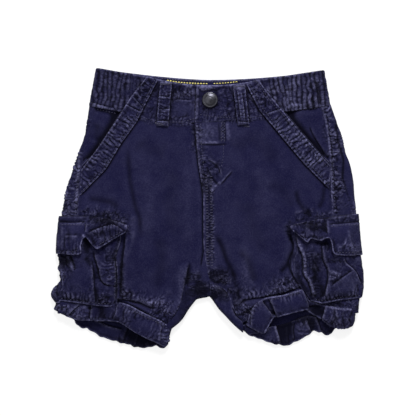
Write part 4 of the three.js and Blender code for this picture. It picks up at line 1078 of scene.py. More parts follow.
def ribs(along, across):
    """Gathers of the elastic waistband: rounded ridges and narrow valleys of uneven width, worn on the ridges
    and with painted shade in the valleys.
    """
    pitch, size, seed = 4.1, 1.5, 3
    bend = 0.8 * noise(along / 15, across / 30, seed) + 0.38 * noise(along / 5, across / 6, seed + 1)
    strength = np.clip(0.75 + 0.8 * noise(along / 6, across / 6, seed + 2), 0.1, 1.35)
    wave = np.abs(np.sin(math.pi * (along / pitch + bend))) ** 0.8
    crest = np.clip(wave * 3.2 - 2.3, 0, 1)
    return size * (wave - 0.6) * strength, 0.8 * crest * strength, 1.3 * (1 - wave) * strength


# ---- the form of the garment -----------------------------------------------------------------------


def front_height(x, y):
    """Height of the middle of the front cloth above the table, with a dip on each leg and raised sides."""
    level = np.full(np.shape(x), float(FRONT_HEIGHTS[0][1]))
    for (low_y, low), (high_y, high) in zip(FRONT_HEIGHTS, FRONT_HEIGHTS[1:]):
        level = level + (high - low) * ramp(low_y, high_y, y)
    dip = DIP.depth * bell(np.abs(x) - DIP.x, DIP.width) * ramp(DIP.start, DIP.full, y)
    side = ramp(SIDE_RISE.start, SIDE_RISE.full, np.abs(x))
    return level - dip + SIDE_RISE.height * side * (1 - ramp(SIDE_RISE.below, SIDE_RISE.below + 20, y))


def under_lift(v, inset):
    """How far a leg is lifted by the layers under it, in row v and this far in from the side fold."""
    on_pocket = ramp(FLAP_TOP - 1, FLAP_TOP, v)
    on_flap = on_pocket * (1 - ramp(FLAP_END, FLAP_END + 1, v))
    return LAYER * (on_pocket + on_flap) * (1 - ramp(UNDER.reach, UNDER.end, inset))


def sections(side, v):
    """Sections between the table's rows. The centre and inner leg turn a corner at the crotch."""
    table = SECTIONS[side]
    v = np.asarray(v, float)
    i = np.minimum(v.astype(int), len(table) - 2)
    t = v - i

    def value(column):
        values = table[:, COLUMNS.index(column)]
        cornered = column.startswith(("inner", "front"))
        first = np.where(cornered & (i >= CROTCH), CROTCH, 0)
        last = np.where(cornered & (i < CROTCH), CROTCH, len(table) - 1)
        a, b, c, d = (values[np.clip(i + k, first, last)] for k in (-1, 0, 1, 2))
        square, cube = 2 * a - 5 * b + 4 * c - d, 3 * b - a - 3 * c + d
        return 0.5 * (2 * b + (c - a) * t + square * t**2 + cube * t**3)

    found = SimpleNamespace(v=v, bow=value("bow"), back_bow=value("back_bow"))
    for key in ("inner", "front", "slant", "seam", "fold"):
        setattr(found, key, np.stack([value(key + "_x"), value(key + "_y")], axis=-1))
    return found


def turn_at(tip, origin, wall, lift=0.0):
    """The turn of cloth at a fold: its radius, the way it points and where it starts."""
    out = unit(tip - origin)
    low = wall / 2 + lift
    high = front_height(tip[..., 0], tip[..., 1])
    radius = (high - low) / 2
    start = tip - out * (wall / 2 + radius)[..., None]
    return SimpleNamespace(out=out, low=low, high=high, radius=radius, start=start)


def on_turn(turn, steps, lift=0.0):
    """Points on each row's turn from its upper to its lower end, without the ends."""
    angle = math.pi * (np.linspace(1, 0, steps)[1:-1] - 0.5)
    radius = (turn.radius + lift)[:, None]
    plan = turn.start[:, None, :] + turn.out[:, None, :] * (radius * np.cos(angle))[..., None]
    z = ((turn.low + turn.high) / 2)[:, None] + radius * np.sin(angle)
    return np.concatenate([plan, z[..., None]], axis=-1)


def side_of(found):
    """The turn at the outer side, and the side seam, which keeps clear of it."""
    turn = turn_at(found.fold, found.seam, CLOTH, under_lift(found.v, 0))
    reach = np.linalg.norm(found.fold - found.seam, axis=-1)
    least = turn.radius + CLOTH / 2 + 1
    moved = found.fold - turn.out * least[:, None]
    return turn, np.where((reach > least)[:, None], found.seam, moved)


def at_height(plan, z):
    """Plan points made into points in space at one height or at a height each."""
    return np.concatenate([plan, np.broadcast_to(z, plan.shape[:-1])[..., None]], axis=-1)


def on_front(plan, lift=0.0):
    """Plan points put on the middle of the front cloth, or so far above it."""
    return at_height(plan, front_height(plan[..., 0], plan[..., 1]) + lift)


def bowed(start, end, bow, t):
    """Rows of plan points from start to end, lifted up the garment in their middle by the bow."""
    plan = mix(start[:, None, :], end[:, None, :], t[..., None])
    plan[..., 1] += bow[:, None] * np.sin(math.pi * np.clip(t, 0, 1))
    return plan


def even_rows(side, first, last):
    """Row numbers of the table at an even spacing down the cloth."""
    v = np.linspace(first, last, 200)
    found = sections(side, v)
    at = lengths_of((found.front + found.seam) / 2)
    return np.interp(np.linspace(0, at[-1], int(at[-1] / MESH) + 1), at, v)


def coons(top, bottom, left, right):
    """A plan grid inside four edge lines. Rows go from top to bottom, columns from left to right."""
    u = np.linspace(0, 1, len(top))[None, :, None]
    w = np.linspace(0, 1, len(left))[:, None, None]
    ruled = mix(top[None], bottom[None], w) + mix(left[:, None], right[:, None], u)
    corners = mix(mix(top[0], top[-1], u), mix(bottom[0], bottom[-1], u), w)
    return ruled - corners


def extended(row, tuck, way=(0, -1, 0)):
    """More rows past an edge, going down under what covers it. way is one direction or one for each point."""
    steps = np.arange(1, int(tuck.reach / MESH) + 1) * MESH
    out = row[None] + np.asarray(way, float) * steps[:, None, None]
    out[..., 2] -= (tuck.sink * ramp(0, tuck.slope, steps))[:, None]
    return out


def under_waistband(points):
    """The sheet with the rows that go up under the waistband put before it."""
    return np.concatenate([extended(points[0], WAIST_TUCK, (0, 1, 0))[::-1], points])


def strip(start, end, tuck, columns):
    """A sheet on the front from one edge to another, which begins a little under what covers its start."""
    width = np.linalg.norm(end - start, axis=1)
    t = np.linspace(-tuck.reach / width, 1, columns).T
    points = on_front(mix(start[:, None, :], end[:, None, :], t[..., None]))
    points[..., 2] -= tuck.sink * ramp(0, tuck.slope, -t * width[:, None])
    return points


# ---- shells ----------------------------------------------------------------------------------------

PIECES = {}


def sheet_of(points, gather=None, base_dark=0.0):
    """A sheet: its grid of points, the gathers to add, and how dark its upper side is painted, which by a
    pocket's opening is painted shadow.
    """
    return SimpleNamespace(points=points, gather=gather, base_dark=base_dark)


def grid_normals(points):
    """The way out at each point of a sheet. A sheet's first columns are on the upper side."""
    normals = np.cross(np.gradient(points, axis=1), np.gradient(points, axis=0))
    normals = unit(normals + 1e-9)
    return normals if normals[:, :3, 2].mean() > 0 else -normals


def smoothed(values, times):
    """A grid of values, averaged with their neighbours so many times."""
    for _ in range(times):
        for axis in (0, 1):
            padded = np.pad(values, [(1, 1) if k == axis else (0, 0) for k in (0, 1)], mode="edge")
            parts = [np.take(padded, np.arange(values.shape[axis]) + k, axis=axis) for k in range(3)]
            values = (parts[0] + 2 * parts[1] + parts[2]) / 4
    return values


def edge_distance(points):
    """How far each point is from the sheet's upper, lower, first and last edge, along the cloth."""
    down = np.cumsum(np.linalg.norm(np.diff(points, axis=0, prepend=points[:1]), axis=2), axis=0)
    over = np.cumsum(np.linalg.norm(np.diff(points, axis=1, prepend=points[:, :1]), axis=2), axis=1)
    return down, down[-1] - down, over, over[:, -1:] - over


def dressed(name, sheet, wall):
    """Adds to a sheet its points with their relief, its wear, darkness and rumpling, and its flat places."""
    points = sheet.points
    normals = grid_normals(points)
    x, y = points[..., 0], points[..., 1]
    face = ramp(-0.95, -0.1, normals[..., 2])  # 1 on the upper side, 0 on the side that lies on the table
    upper, inside = relief(name, x, y), relief("inside_" + name, x, y)
    if sheet.gather is not None:
        rib_height, rib_worn, rib_dark = sheet.gather
        upper.height = upper.height + rib_height
        upper.worn = upper.worn + rib_worn
        upper.dark = upper.dark + rib_dark
    # The cloth is nowhere quite flat. On the table it can only be lifted, never sunk.
    upper.height += 0.45 * clouds(x, y, 24, 3) + 0.12 * clouds(x, y, 8, 9, 2)
    moved = points + normals * (upper.height * face)[..., None]
    moved[..., 2] += np.maximum(inside.height + 0.25 + 0.25 * clouds(x, y, 24, 17), 0) * (1 - face)
    moved[..., 2] = np.maximum(moved[..., 2], wall / 2)
    height, worn, dark, rumpled = (
        mix(getattr(inside, key), getattr(upper, key), face) for key in ("height", "worn", "dark", "rumpled")
    )
    # What stands out from the cloth round it is rubbed, and what lies deeper gets painted shade.
    crown = height - smoothed(height, 10)
    worn = worn + 0.2 * np.clip(crown, 0, 1)
    dark = dark + 0.7 * np.clip(-crown, 0, 1)
    uneven = 0.75 + 0.7 * noise(x / 2.6, y / 2.6, 83)
    distances = edge_distance(points)
    worn_edges = WORN_EDGES.get(name, WORN_EDGES.get(name.rpartition("_")[0], (0, 0, 0, 0)))
    for strength, distance in zip(worn_edges, distances):
        worn = worn + 1.3 * strength * uneven * bell(distance, 0.5)
        dark = dark + 0.5 * strength * bell(distance - 2.4, 0.9)
    dark = dark + sheet.base_dark * face
    sheet.moved = moved
    sheet.looks = [np.clip(values, 0, 1) for values in (worn, dark, rumpled)]
    sheet.flat = np.stack([distances[2], distances[0]], axis=-1)
    return sheet


def cut_sizes(points):
    """Width, length and area of a sheet along its cloth."""
    across = np.linalg.norm(np.diff(points, axis=1), axis=2).sum(axis=1)
    down = np.linalg.norm(np.diff(points, axis=0), axis=2).sum(axis=0)
    one, two = points[1:, 1:] - points[:-1, :-1], points[1:, :-1] - points[:-1, 1:]
    area = np.linalg.norm(np.cross(one, two), axis=2).sum() / 2
    return across.max(), down.max(), area


def quads_of(sheets, index):
    """Quads of all the sheets, by the numbers of their joined points, without those that closed up."""
    quads, offset = [], 0
    for sheet in sheets:
        rows, columns = sheet.moved.shape[:2]
        number = index[offset:offset + rows * columns].reshape(rows, columns)
        offset += rows * columns
        corners = (number[:-1, :-1], number[:-1, 1:], number[1:, 1:], number[1:, :-1])
        quads.append(np.stack(corners, -1).reshape(-1, 4))
    quads = np.concatenate(quads)
    return quads[[len(set(quad)) == 4 for quad in quads]]


def rim_of(points, quads, normals):
    """The edges that only one quad has, the points on them, and the way out of the sheet at each."""
    edges = np.concatenate([quads[:, [k, (k + 1) % 4]] for k in range(4)]).tolist()
    keys = {(a, b) for a, b in edges}
    rim = np.array([(a, b) for a, b in edges if (b, a) not in keys], int).reshape(-1, 2)
    outward = np.zeros_like(points)
    way = np.cross(points[rim[:, 1]] - points[rim[:, 0]], normals[rim[:, 0]])
    for k in (0, 1):
        np.add.at(outward, rim[:, k], way)
    border = np.unique(rim)
    return rim, border, unit(outward[border] + 1e-12)


def closed_shell(name, sheets, wall):
    """One closed mesh of the wall's thickness from dressed sheets, with a rounded rim."""
    points = np.concatenate([sheet.moved.reshape(-1, 3) for sheet in sheets])
    looks = [np.concatenate([sheet.looks[k].ravel() for sheet in sheets]) for k in range(3)]
    flat = np.concatenate([sheet.flat.reshape(-1, 2) for sheet in sheets])
    _, first, index = np.unique(np.round(points, 3), axis=0, return_index=True, return_inverse=True)
    points, flat = points[first], flat[first]
    quads = quads_of(sheets, index.ravel())

    facing = np.cross(points[quads[:, 2]] - points[quads[:, 0]], points[quads[:, 3]] - points[quads[:, 1]])
    normals = np.zeros_like(points)
    for k in range(4):
        np.add.at(normals, quads[:, k], facing)
    normals = unit(normals + 1e-12)

    rim, border, outward = rim_of(points, quads, normals)
    count = len(points)
    middle = np.full(count, -1)
    middle[border] = 2 * count + np.arange(len(border))
    half = normals * wall / 2
    everything = np.concatenate([points + half, points - half, points[border] + outward * wall * RIM])
    everything[:, 2] = np.maximum(everything[:, 2], OFF_TABLE)
    faces = quads.tolist() + (quads[:, ::-1] + count).tolist()
    for a, b in rim:
        faces.append([b, a, middle[a], middle[b]])
        faces.append([middle[b], middle[a], count + a, count + b])

    mesh = bpy.data.meshes.new(name)
    mesh.from_pydata(to_frame(everything).tolist(), [], faces)
    mesh.update()
    order = np.concatenate([np.arange(count), np.arange(count), border])
    for label, values in zip(LOOKS, looks):
        mesh.attributes.new(label, "FLOAT", "POINT").data.foreach_set("value", values[first][order])
    layer = mesh.uv_layers.new(name="cut")
    corners = np.empty(len(mesh.loops), int)
    mesh.loops.foreach_get("vertex_index", corners)
    layer.data.foreach_set("uv", (flat[order] * MM)[corners].ravel())
    return mesh


def turned_out(mesh):
    """Turns the faces out where the signed volume is negative."""
    mesh.calc_loop_triangles()
    at = np.empty(len(mesh.vertices) * 3)
    mesh.vertices.foreach_get("co", at)
    corners = np.empty(len(mesh.loop_triangles) * 3, int)
    mesh.loop_triangles.foreach_get("vertices", corners)
    a, b, c = (at.reshape(-1, 3)[corners.reshape(-1, 3)[:, k]] for k in range(3))
    if np.einsum("ij,ij->i", a, np.cross(b, c)).sum() < 0:
        mesh.flip_normals()


def to_frame(points):
    """From the garment's own plan in millimetres to the frame in metres."""
    return (np.asarray(points) + SHIFT) * MM


def put(name, mesh, material, nodes):
    """A smooth piece of the garment's one body, in its material's slot."""
    mesh.polygons.foreach_set("use_smooth", [True] * len(mesh.polygons))
    turned_out(mesh)
    mesh.materials.append(material)
    piece = bpy.data.objects.new(name, mesh)
    bpy.context.scene.collection.objects.link(piece)
    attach(piece, "root")
    if nodes:
        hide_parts(*nodes)
    PIECES[name] = piece
    return piece


def cloth_piece(node, sheets, wall, material):
    """A cloth piece from its sheets."""
    done = [dressed(node, sheet, wall) for sheet in sheets]
    sizes = [cut_sizes(sheet.points) for sheet in sheets]
    piece = put("cloth_" + node, closed_shell("cloth_" + node, done, wall), material, [node])
    return piece


# ---- materials -------------------------------------------------------------------------------------

COLOURS = {
    "navy": (0.0073, 0.0070, 0.0368),
    "faded": (0.1500, 0.1480, 0.2900),
    # painted_shade: the colour that painted shade in creases, hollows and under edges mixes towards
    "painted_shade": (0.0012, 0.0011, 0.0055),
    "thread": (0.0420, 0.0410, 0.0960),
    "yellow": (0.8600, 0.7600, 0.2200),
    "metal": (0.0360, 0.0360, 0.0440),
}
TWILL_TURN = math.radians(63)  # of the weave's diagonal, from across the cloth


class Nodes:
    """A short way to write a material's nodes."""

    def __init__(self, name):
        self.material = bpy.data.materials.new(name)
        self.material.use_nodes = True
        self.tree = self.material.node_tree
        self.shader = self.tree.nodes["Principled BSDF"]

    def add(self, kind, settings=(), inputs=()):
        node = self.tree.nodes.new(kind)
        for key, value in dict(settings).items():
            setattr(node, key, value)
        for key, value in dict(inputs).items():
            self.feed(node.inputs[key], value)
        return node

    def feed(self, socket, value):
        if isinstance(value, bpy.types.NodeSocket):
            self.tree.links.new(value, socket)
        else:
            socket.default_value = value

    def math(self, operation, *values, clamp=False):
        settings = {"operation": operation, "use_clamp": clamp}
        return self.add("ShaderNodeMath", settings, enumerate(values)).outputs[0]

    def blend(self, share, a, b):
        node = self.add("ShaderNodeMix", {"data_type": "RGBA"})
        self.feed(node.inputs["Factor"], share)
        for key, value in (("A", a), ("B", b)):
            socket = next(s for s in node.inputs if s.name == key and s.type == "RGBA")
            self.feed(socket, value if isinstance(value, bpy.types.NodeSocket) else (*value, 1))
        return next(s for s in node.outputs if s.type == "RGBA")

    def clouds(self, vector, scale, detail, roughness=0.5):
        """Soft noise with features of about 1 / scale metres."""
        inputs = {"Vector": vector, "Scale": scale, "Detail": detail, "Roughness": roughness}
        return self.add("ShaderNodeTexNoise", {}, inputs).outputs[0]

    def waves(self, direction, inputs):
        settings = {"wave_type": "BANDS", "bands_direction": direction}
        return self.add("ShaderNodeTexWave", settings, inputs).outputs["Fac"]

    def band(self, value, low, high, to_low=0.0, to_high=1.0):
        inputs = {"Value": value, "From Min": low, "From Max": high, "To Min": to_low, "To Max": to_high}
        return self.add("ShaderNodeMapRange", {"interpolation_type": "SMOOTHSTEP"}, inputs).outputs[0]

    def bump(self, height, strength, distance, **more):
        inputs = {"Height": height, "Strength": strength, "Distance": distance, **more}
        return self.add("ShaderNodeBump", {}, inputs).outputs[0]

    def set(self, **values):
        for key, value in values.items():
            self.feed(self.shader.inputs[key.replace("_", " ")], value)


def cloth_material(name, base):
    """Worn cotton twill: faded on edges and puckers, painted shade in folds, hollows and small wrinkles, with
    a diagonal weave.
    """
    n = Nodes(name)
    cut = n.add("ShaderNodeUVMap", {"uv_map": "cut"}).outputs[0]
    place = n.add("ShaderNodeTexCoord").outputs["Object"]
    wear, dark, rumpled = (
        n.add("ShaderNodeAttribute", {"attribute_name": label}).outputs["Fac"] for label in LOOKS
    )

    def cloud(scale, detail, vector=place):
        return n.clouds(vector, scale, detail, 0.55)

    flecks = cloud(480, 2)
    light = n.math("MULTIPLY", wear, n.band(flecks, 0.38, 0.62, 0.4, 1.15))
    rubbed = n.math("MULTIPLY", rumpled, n.band(flecks, 0.56, 0.68, 0.0, 0.3))
    mottle = n.band(cloud(70, 3), 0.30, 0.72, 0.0, 0.05)
    speck = n.band(cloud(1000, 2), 0.42, 0.68, 0.0, 0.06)
    share = n.math("ADD", n.math("ADD", mottle, speck), n.math("MAXIMUM", light, rubbed), clamp=True)
    colour = n.blend(share, base, COLOURS["faded"])
    # Painted shade: dark specks where the cloth is rumpled, for the shade between small wrinkles, joined with
    # the dark attribute below.
    pit_shade = n.math("MULTIPLY", rumpled, n.band(cloud(560, 2), 0.36, 0.50, 0.85, 0.0))
    depth = n.math("MAXIMUM", n.math("MULTIPLY", dark, 0.9), pit_shade, clamp=True)
    colour = n.blend(depth, colour, COLOURS["painted_shade"])
    n.set(Base_Color=colour, Roughness=0.95, Specular_IOR_Level=0.06, Sheen_Weight=0.02, Sheen_Roughness=0.6)

    diagonal = n.add("ShaderNodeMapping", {}, {"Vector": cut, "Rotation": (0, 0, TWILL_TURN)}).outputs[0]
    twill = n.waves(
        "X", {"Vector": diagonal, "Scale": 520.0, "Distortion": 1.2, "Detail": 1.0, "Detail Scale": 2.0},
    )
    grain = n.math("MULTIPLY_ADD", cloud(1500, 2, cut), 0.6, twill)
    weave = n.bump(grain, 0.35, 0.00025)
    wrinkle = n.math("MULTIPLY", flecks, n.math("ADD", rumpled, 0.08))
    n.set(Normal=n.bump(wrinkle, 1.0, 0.0018, Normal=weave))
    return n.material


def thread_material(name, colour):
    """Twisted thread, with painted shade between its strands."""
    n = Nodes(name)
    place = n.add("ShaderNodeTexCoord").outputs["Object"]
    twist = n.waves("DIAGONAL", {"Vector": place, "Scale": 700.0, "Distortion": 0.6})
    # Painted shade between the strands of the twist.
    shade = n.blend(n.math("MULTIPLY", twist, 0.45), colour, [c * 0.45 for c in colour])
    bump = n.bump(twist, 0.4, 0.0001)
    n.set(Base_Color=shade, Roughness=0.7, Specular_IOR_Level=0.3, Sheen_Weight=0.2, Normal=bump)
    return n.material


def metal_material():
    """Dark metal with lighter, rougher patches."""
    n = Nodes("dark_metal")
    place = n.add("ShaderNodeTexCoord").outputs["Object"]
    patch = n.clouds(place, 500.0, 4.0)
    colour = n.blend(patch, COLOURS["metal"], [c * 2.6 for c in COLOURS["metal"]])
    roughness = n.math("MULTIPLY_ADD", patch, 0.25, 0.22)
    n.set(Base_Color=colour, Metallic=1.0, Roughness=roughness, Normal=n.bump(patch, 0.25, 0.0002))
    return n.material


# ---- panels ----------------------------------------------------------------------------------------
# Each function gives a list of a piece's sheets.


def front_panel(side):
    """From the centre front to the slant edge or side seam, tucked under the waistband and the cuff."""
    v = even_rows(side, 0, CUFF_SEAM)
    found = sections(side, v)
    _, seam = side_of(found)
    by_pocket = v < POCKET_END
    outer = np.where(by_pocket[:, None], found.slant, seam)
    width = np.linalg.norm(outer - found.front, axis=1)
    lap = np.where(v < CROTCH, LAP[side], 0.0) * (1 - ramp(CROTCH - 0.6, CROTCH, v))
    under = np.where(by_pocket, 1.0, 0.2)
    t = np.linspace(-lap / width, 1 + under / width, int(width.max() / MESH)).T
    points = on_front(bowed(found.front, outer, found.bow, t))
    points[..., 2] -= 1.5 * ramp(0, 2.5, -t * width[:, None])
    return [sheet_of(np.concatenate([under_waistband(points), extended(points[-1], CUFF_TUCK)]))]


def hip_pocket(side):
    """The back wall of the slant pocket, sunk and with painted shadow beside the pocket's edge."""
    found = sections(side, even_rows(side, 0, POCKET_END - 0.02))
    _, seam = side_of(found)
    gap = np.linalg.norm(seam - found.slant, axis=1)
    tuck, reach = 9.0, 0.3
    t = np.linspace(-tuck / gap, 1 + reach / gap, int((gap.max() + tuck) / MESH)).T
    from_slant = t * gap[:, None]
    points = on_front(mix(found.slant[:, None, :], seam[:, None, :], t[..., None]))
    points[..., 2] -= 0.2 + 1.9 * ramp(9, 0, from_slant)
    points = under_waistband(points)
    from_slant = np.pad(from_slant, [(len(points) - len(from_slant), 0), (0, 0)], mode="edge")
    # Painted shadow along the pocket's opening, darkest near the slant band's edge.
    return [sheet_of(points, base_dark=1.1 * ramp(10, 2.5, from_slant) ** 1.5)]


def back_panel(side):
    """A sheet round the side and over the table to the centre, and one round the inner leg."""
    v = even_rows(side, 0, CUFF_SEAM)
    found = sections(side, v)
    turn, seam = side_of(found)
    inner = found.inner.copy()
    off_centre = -0.3 if side == "right" else 0.3
    inner[:, 0] = np.where(np.abs(inner[:, 0]) < 0.3, off_centre, inner[:, 0])
    start = np.where((v < CROTCH)[:, None], inner, turn_at(inner, found.front, CLOTH).start)
    width = np.linalg.norm(start - turn.start, axis=1)
    near = np.broadcast_to(np.linspace(0, UNDER.end, 18), (len(v), 18))
    far = UNDER.end + np.linspace(0, 1, 46)[1:] * (width - UNDER.end)[:, None]
    inset = np.concatenate([near, far], axis=1)
    plan = bowed(turn.start, start, found.back_bow, inset / width[:, None])
    table = at_height(plan, CLOTH / 2 + under_lift(v[:, None], inset))
    main = np.concatenate([strip(seam, turn.start, SIDE_TUCK, 20), on_turn(turn, 13), table], axis=1)
    inner_way = unit(np.array(INNER_WAY[side], float))
    from_inner = np.linalg.norm(main[-1, :, :2] - inner[-1], axis=1)[:, None]
    way = unit(mix(np.array([0.0, -1, 0]), inner_way, ramp(30, 0, from_inner)))
    main = np.concatenate([main, extended(main[-1], BACK_CUFF_TUCK, way)])

    leg = v >= CROTCH
    turn = turn_at(inner[leg], found.front[leg], CLOTH)
    upper = strip(found.front[leg], turn.start, INNER_TUCK, 12)
    lower = at_height(turn.start, CLOTH / 2)[:, None, :]
    wrap = np.concatenate([upper, on_turn(turn, 11), lower], axis=1)
    wrap = np.concatenate([wrap, extended(wrap[-1], INNER_CUFF_TUCK, inner_way)])
    return [sheet_of(main), sheet_of(wrap)]


# ---- waistband -------------------------------------------------------------------------------------


def front_top(x):
    return FRONT_TOP.centre + FRONT_TOP.rise * (x / FRONT_TOP.reach) ** 2


def back_top(x):
    shape = (BACK_TOP.rise, BACK_TOP.power)
    rise, power = (np.where(x < 0, values["right"], values["left"]) for values in shape)
    return BACK_TOP.centre + rise * np.abs(x / BACK_TOP.fold_x) ** power


def front_band(side):
    """From the lap at the centre to under the slant band."""
    found = sections(side, [0.0])
    end_x, end_y = SLANT_TOP[side]
    width = abs(end_x - LAP_X)
    tuck = 6.0
    columns = int((width + LAP[side] + tuck) / FINE)
    t = np.linspace(-LAP[side] / width, 1 + tuck / width, columns)
    x = mix(LAP_X, end_x, t)
    top = np.stack([x, np.minimum(front_top(x), end_y)], axis=-1)
    bottom = bowed(found.front, found.slant, found.bow, t[None])[0]
    points = on_front(mix(top[None], bottom[None], BAND_ROWS[:, None, None]))
    points[..., 2] -= 2.7 * ramp(0, 3, -t * width) + 0.8 * ramp(0, 3, (t - 1) * width)
    return [sheet_of(points)]


def half_back_band(side):
    """Points from the slant band to the centre back, and how far along the band each one is."""
    sign = -1 if side == "right" else 1
    found = sections(side, [0.0])
    rows = BAND_ROWS[:, None]
    fold_x = sign * BACK_TOP.fold_x
    fold = mix(np.array([fold_x, float(back_top(fold_x))]), found.fold[0], rows)
    slant = mix(np.array(SLANT_TOP[side], float), found.slant[0], rows)
    turn = turn_at(fold, slant, BAND_WALL)
    gap = np.linalg.norm(turn.start - slant, axis=1).max()
    top = strip(slant, turn.start, BAND_TUCK, int((gap + BAND_TUCK.reach) / FINE))
    around = on_turn(turn, 15)
    u = np.linspace(0, 1, int(BACK_TOP.fold_x / FINE))
    edge_x = mix(turn.start[:, :1], 0.0, u[None])
    upper = np.stack([edge_x, back_top(edge_x)], axis=-1)
    centre = np.broadcast_to(found.inner, turn.start.shape)
    bow = np.repeat(found.back_bow, len(rows))
    lower = bowed(turn.start, centre, bow, np.broadcast_to(u, (len(rows), len(u))))
    under = at_height(mix(upper, lower, rows[..., None]), BAND_WALL / 2)
    under[:, 0, :2] = turn.start
    band = np.concatenate([top, around, under], axis=1)
    over = edge_distance(band)[2]
    first = top.shape[1] + around.shape[1]
    return band, sign * (BACK_TOP.fold_x + over[:, first:first + 1] - over)


def back_band():
    """From the right slant band round the right side, along the table and up to the left slant band."""
    halves = zip(half_back_band("right"), half_back_band("left"))
    points, along = (np.concatenate([right, left[:, -2::-1]], axis=1) for right, left in halves)
    strong = mix(0.6, 1.2, ramp(-20, 40, points[..., 0]))
    height, worn, dark = ribs(along, edge_distance(points)[0])
    # The gathers' painted shade goes into the dark look; the band is also a little darker all over.
    return [sheet_of(points, (height * strong, 0.5 * worn * strong, 1.3 * dark * strong), 0.14)]


def over_seam(y, seam_y):
    """How far a layer stands off the front, which is more above the waistband seam."""
    return mix(LAYER, ON_BAND, ramp(seam_y - 12, seam_y - 4, y))


def slant_band(side):
    length, width = 105, 17
    outer, inner = (spaced(line, int(length / FINE), 6) for line in SLANT_BANDS[side])
    t = np.linspace(0, 1, int(width / FINE))
    plan = mix(outer[:, None], inner[:, None], t[None, :, None])
    seam_y = SECTIONS[side][0, COLUMNS.index("slant_y")]
    return [sheet_of(on_front(plan, over_seam(plan[..., 1], seam_y) - 0.25))]


def belt_loop(side):
    """A strip that arches a little between its ends and across."""
    loop = BELT_LOOPS[side]
    length, arch, crown = 40, 1.1, 0.5
    top, bottom = np.array(loop.top, float), np.array(loop.bottom, float)
    way = unit(top - bottom)
    across = np.array([way[1], -way[0]]) * loop.width / 2
    t = np.linspace(0, 1, int(length / FINE))
    s = np.linspace(-1, 1, int(loop.width / FINE) + 1)
    plan = mix(top, bottom, t[:, None])[:, None] + across * s[None, :, None]
    seam_y = SECTIONS[side][0, COLUMNS.index("front_y")] + 3
    lift = over_seam(plan[..., 1], seam_y) + arch * np.sin(math.pi * t)[:, None] - crown * s[None] ** 2
    return [sheet_of(on_front(plan, lift))]


# ---- pockets and flaps -----------------------------------------------------------------------------


def side_piece(side, piece, seat, lift, columns):
    """A layer over the front and round the side. lift(plan, down, across) stands it off the panel."""
    rows = max(24, int(abs(piece.bottom[-1][1] - piece.top[-1][1]) / FINE))
    v = np.linspace(*piece.rows, rows)
    turn, _ = side_of(sections(side, v))
    outer = turn.start
    top = spaced([tuple(outer[0]), *piece.top], columns, 2)
    bottom = spaced([tuple(outer[-1]), *piece.bottom], columns, 2)
    plan = coons(top[::-1], bottom[::-1], spaced(piece.edge, rows, 2), outer)
    down = np.linspace(0, 1, rows)[:, None]
    across = np.linalg.norm(plan - outer[:, None], axis=2)
    face = on_front(plan, seat + lift(plan, down, across))
    inset = np.linspace(0, piece.wrap, 12)
    under_plan = outer[:, None] - turn.out[:, None] * inset[None, :, None]
    height = CLOTH / 2 + under_lift(v[:, None], inset[None]) - seat
    under = at_height(under_plan, np.maximum(height, CLOTH / 2))
    return [sheet_of(np.concatenate([face, on_turn(turn, 13, seat), under], axis=1))]


def cargo_pocket(side):
    pocket = POCKETS[side]

    def lift(plan, down, across):
        inner = across.max(axis=1, keepdims=True) - across
        edge = np.minimum(ramp(0, 5, inner), ramp(0, 12, across))
        return pocket.stand * edge * (1 - 0.8 * ramp(0.82, 1, down))

    return side_piece(side, pocket, LAYER, lift, 76)


def cargo_flap(side):
    pocket, flap = POCKETS[side], FLAPS[side]

    def lift(plan, down, across):
        face = pocket.stand * ramp(0.05, 0.5, down) * ramp(-2, 9, across)
        curl = sum(height * bell(plan[..., 0] - x, width) for x, height, width in flap.curls)
        return face + curl * down**1.5 * ramp(0, 6, across)

    return side_piece(side, flap, 2 * LAYER, lift, 96)


# ---- cuffs -----------------------------------------------------------------------------------------


def cuff(side):
    """The elastic hem as a closed ring, gathered at its seam and its hem."""
    hem_width, scallop_depth = 20, 1.8
    stations = CUFFS[side]
    ring = np.concatenate([stations, stations[:1]])
    at = lengths_of((ring[:, :3] + ring[:, 3:6]) / 2)
    wanted = np.linspace(0, at[-1], int(at[-1] / FINE) + 1)
    out = places_at(wanted, at, ring)[:-1]
    for _ in range(5):
        out = (np.roll(out, 1, axis=0) + 2 * out + np.roll(out, -1, axis=0)) / 4
    out = np.concatenate([out, out[:1]])
    rows = np.linspace(0, 1, int(hem_width / FINE))[:, None]
    points = mix(out[None, :, :3], out[None, :, 3:6], rows[..., None])
    points[..., 2] += out[None, :, 6] * np.sin(math.pi * rows)
    way = unit(out[:, 3:6] - out[:, :3])
    around = 2 * math.pi * wanted / wanted[-1]
    scallop = noise(9 * np.cos(around), 9 * np.sin(around), 57) * ramp(6, 2, out[:, 5])
    points += way[None] * (scallop_depth * scallop[None, :] * rows**3)[..., None] * np.array([1, 1, 0])
    return [sheet_of(points)]


# ---- stitches and snap -----------------------------------------------------------------------------


def tube_faces(rings, sides, first=0):
    """Quads between rings of points, which follow one another from the first point on."""
    faces = []
    for ring in range(rings - 1):
        for k in range(sides):
            a, b = (first + ring * sides + place for place in (k, (k + 1) % sides))
            faces.append((a, b, b + sides, a + sides))
    return faces


def dash(start, end, up, radius):
    """One stitch: a thread that dips into the cloth at both ends."""
    sides = 6
    side = (end - start).normalized().cross(up).normalized()
    points = []
    for t, lift, size in STITCH_SHAPE:
        centre = start.lerp(end, t) + up * radius * lift
        for k in range(sides):
            angle = 2 * math.pi * k / sides
            points.append(centre + (side * math.cos(angle) + up * math.sin(angle)) * radius * size)
    caps = [tuple(range(sides))[::-1], tuple(range(len(points) - sides, len(points)))]
    return points, tube_faces(len(STITCH_SHAPE), sides) + caps


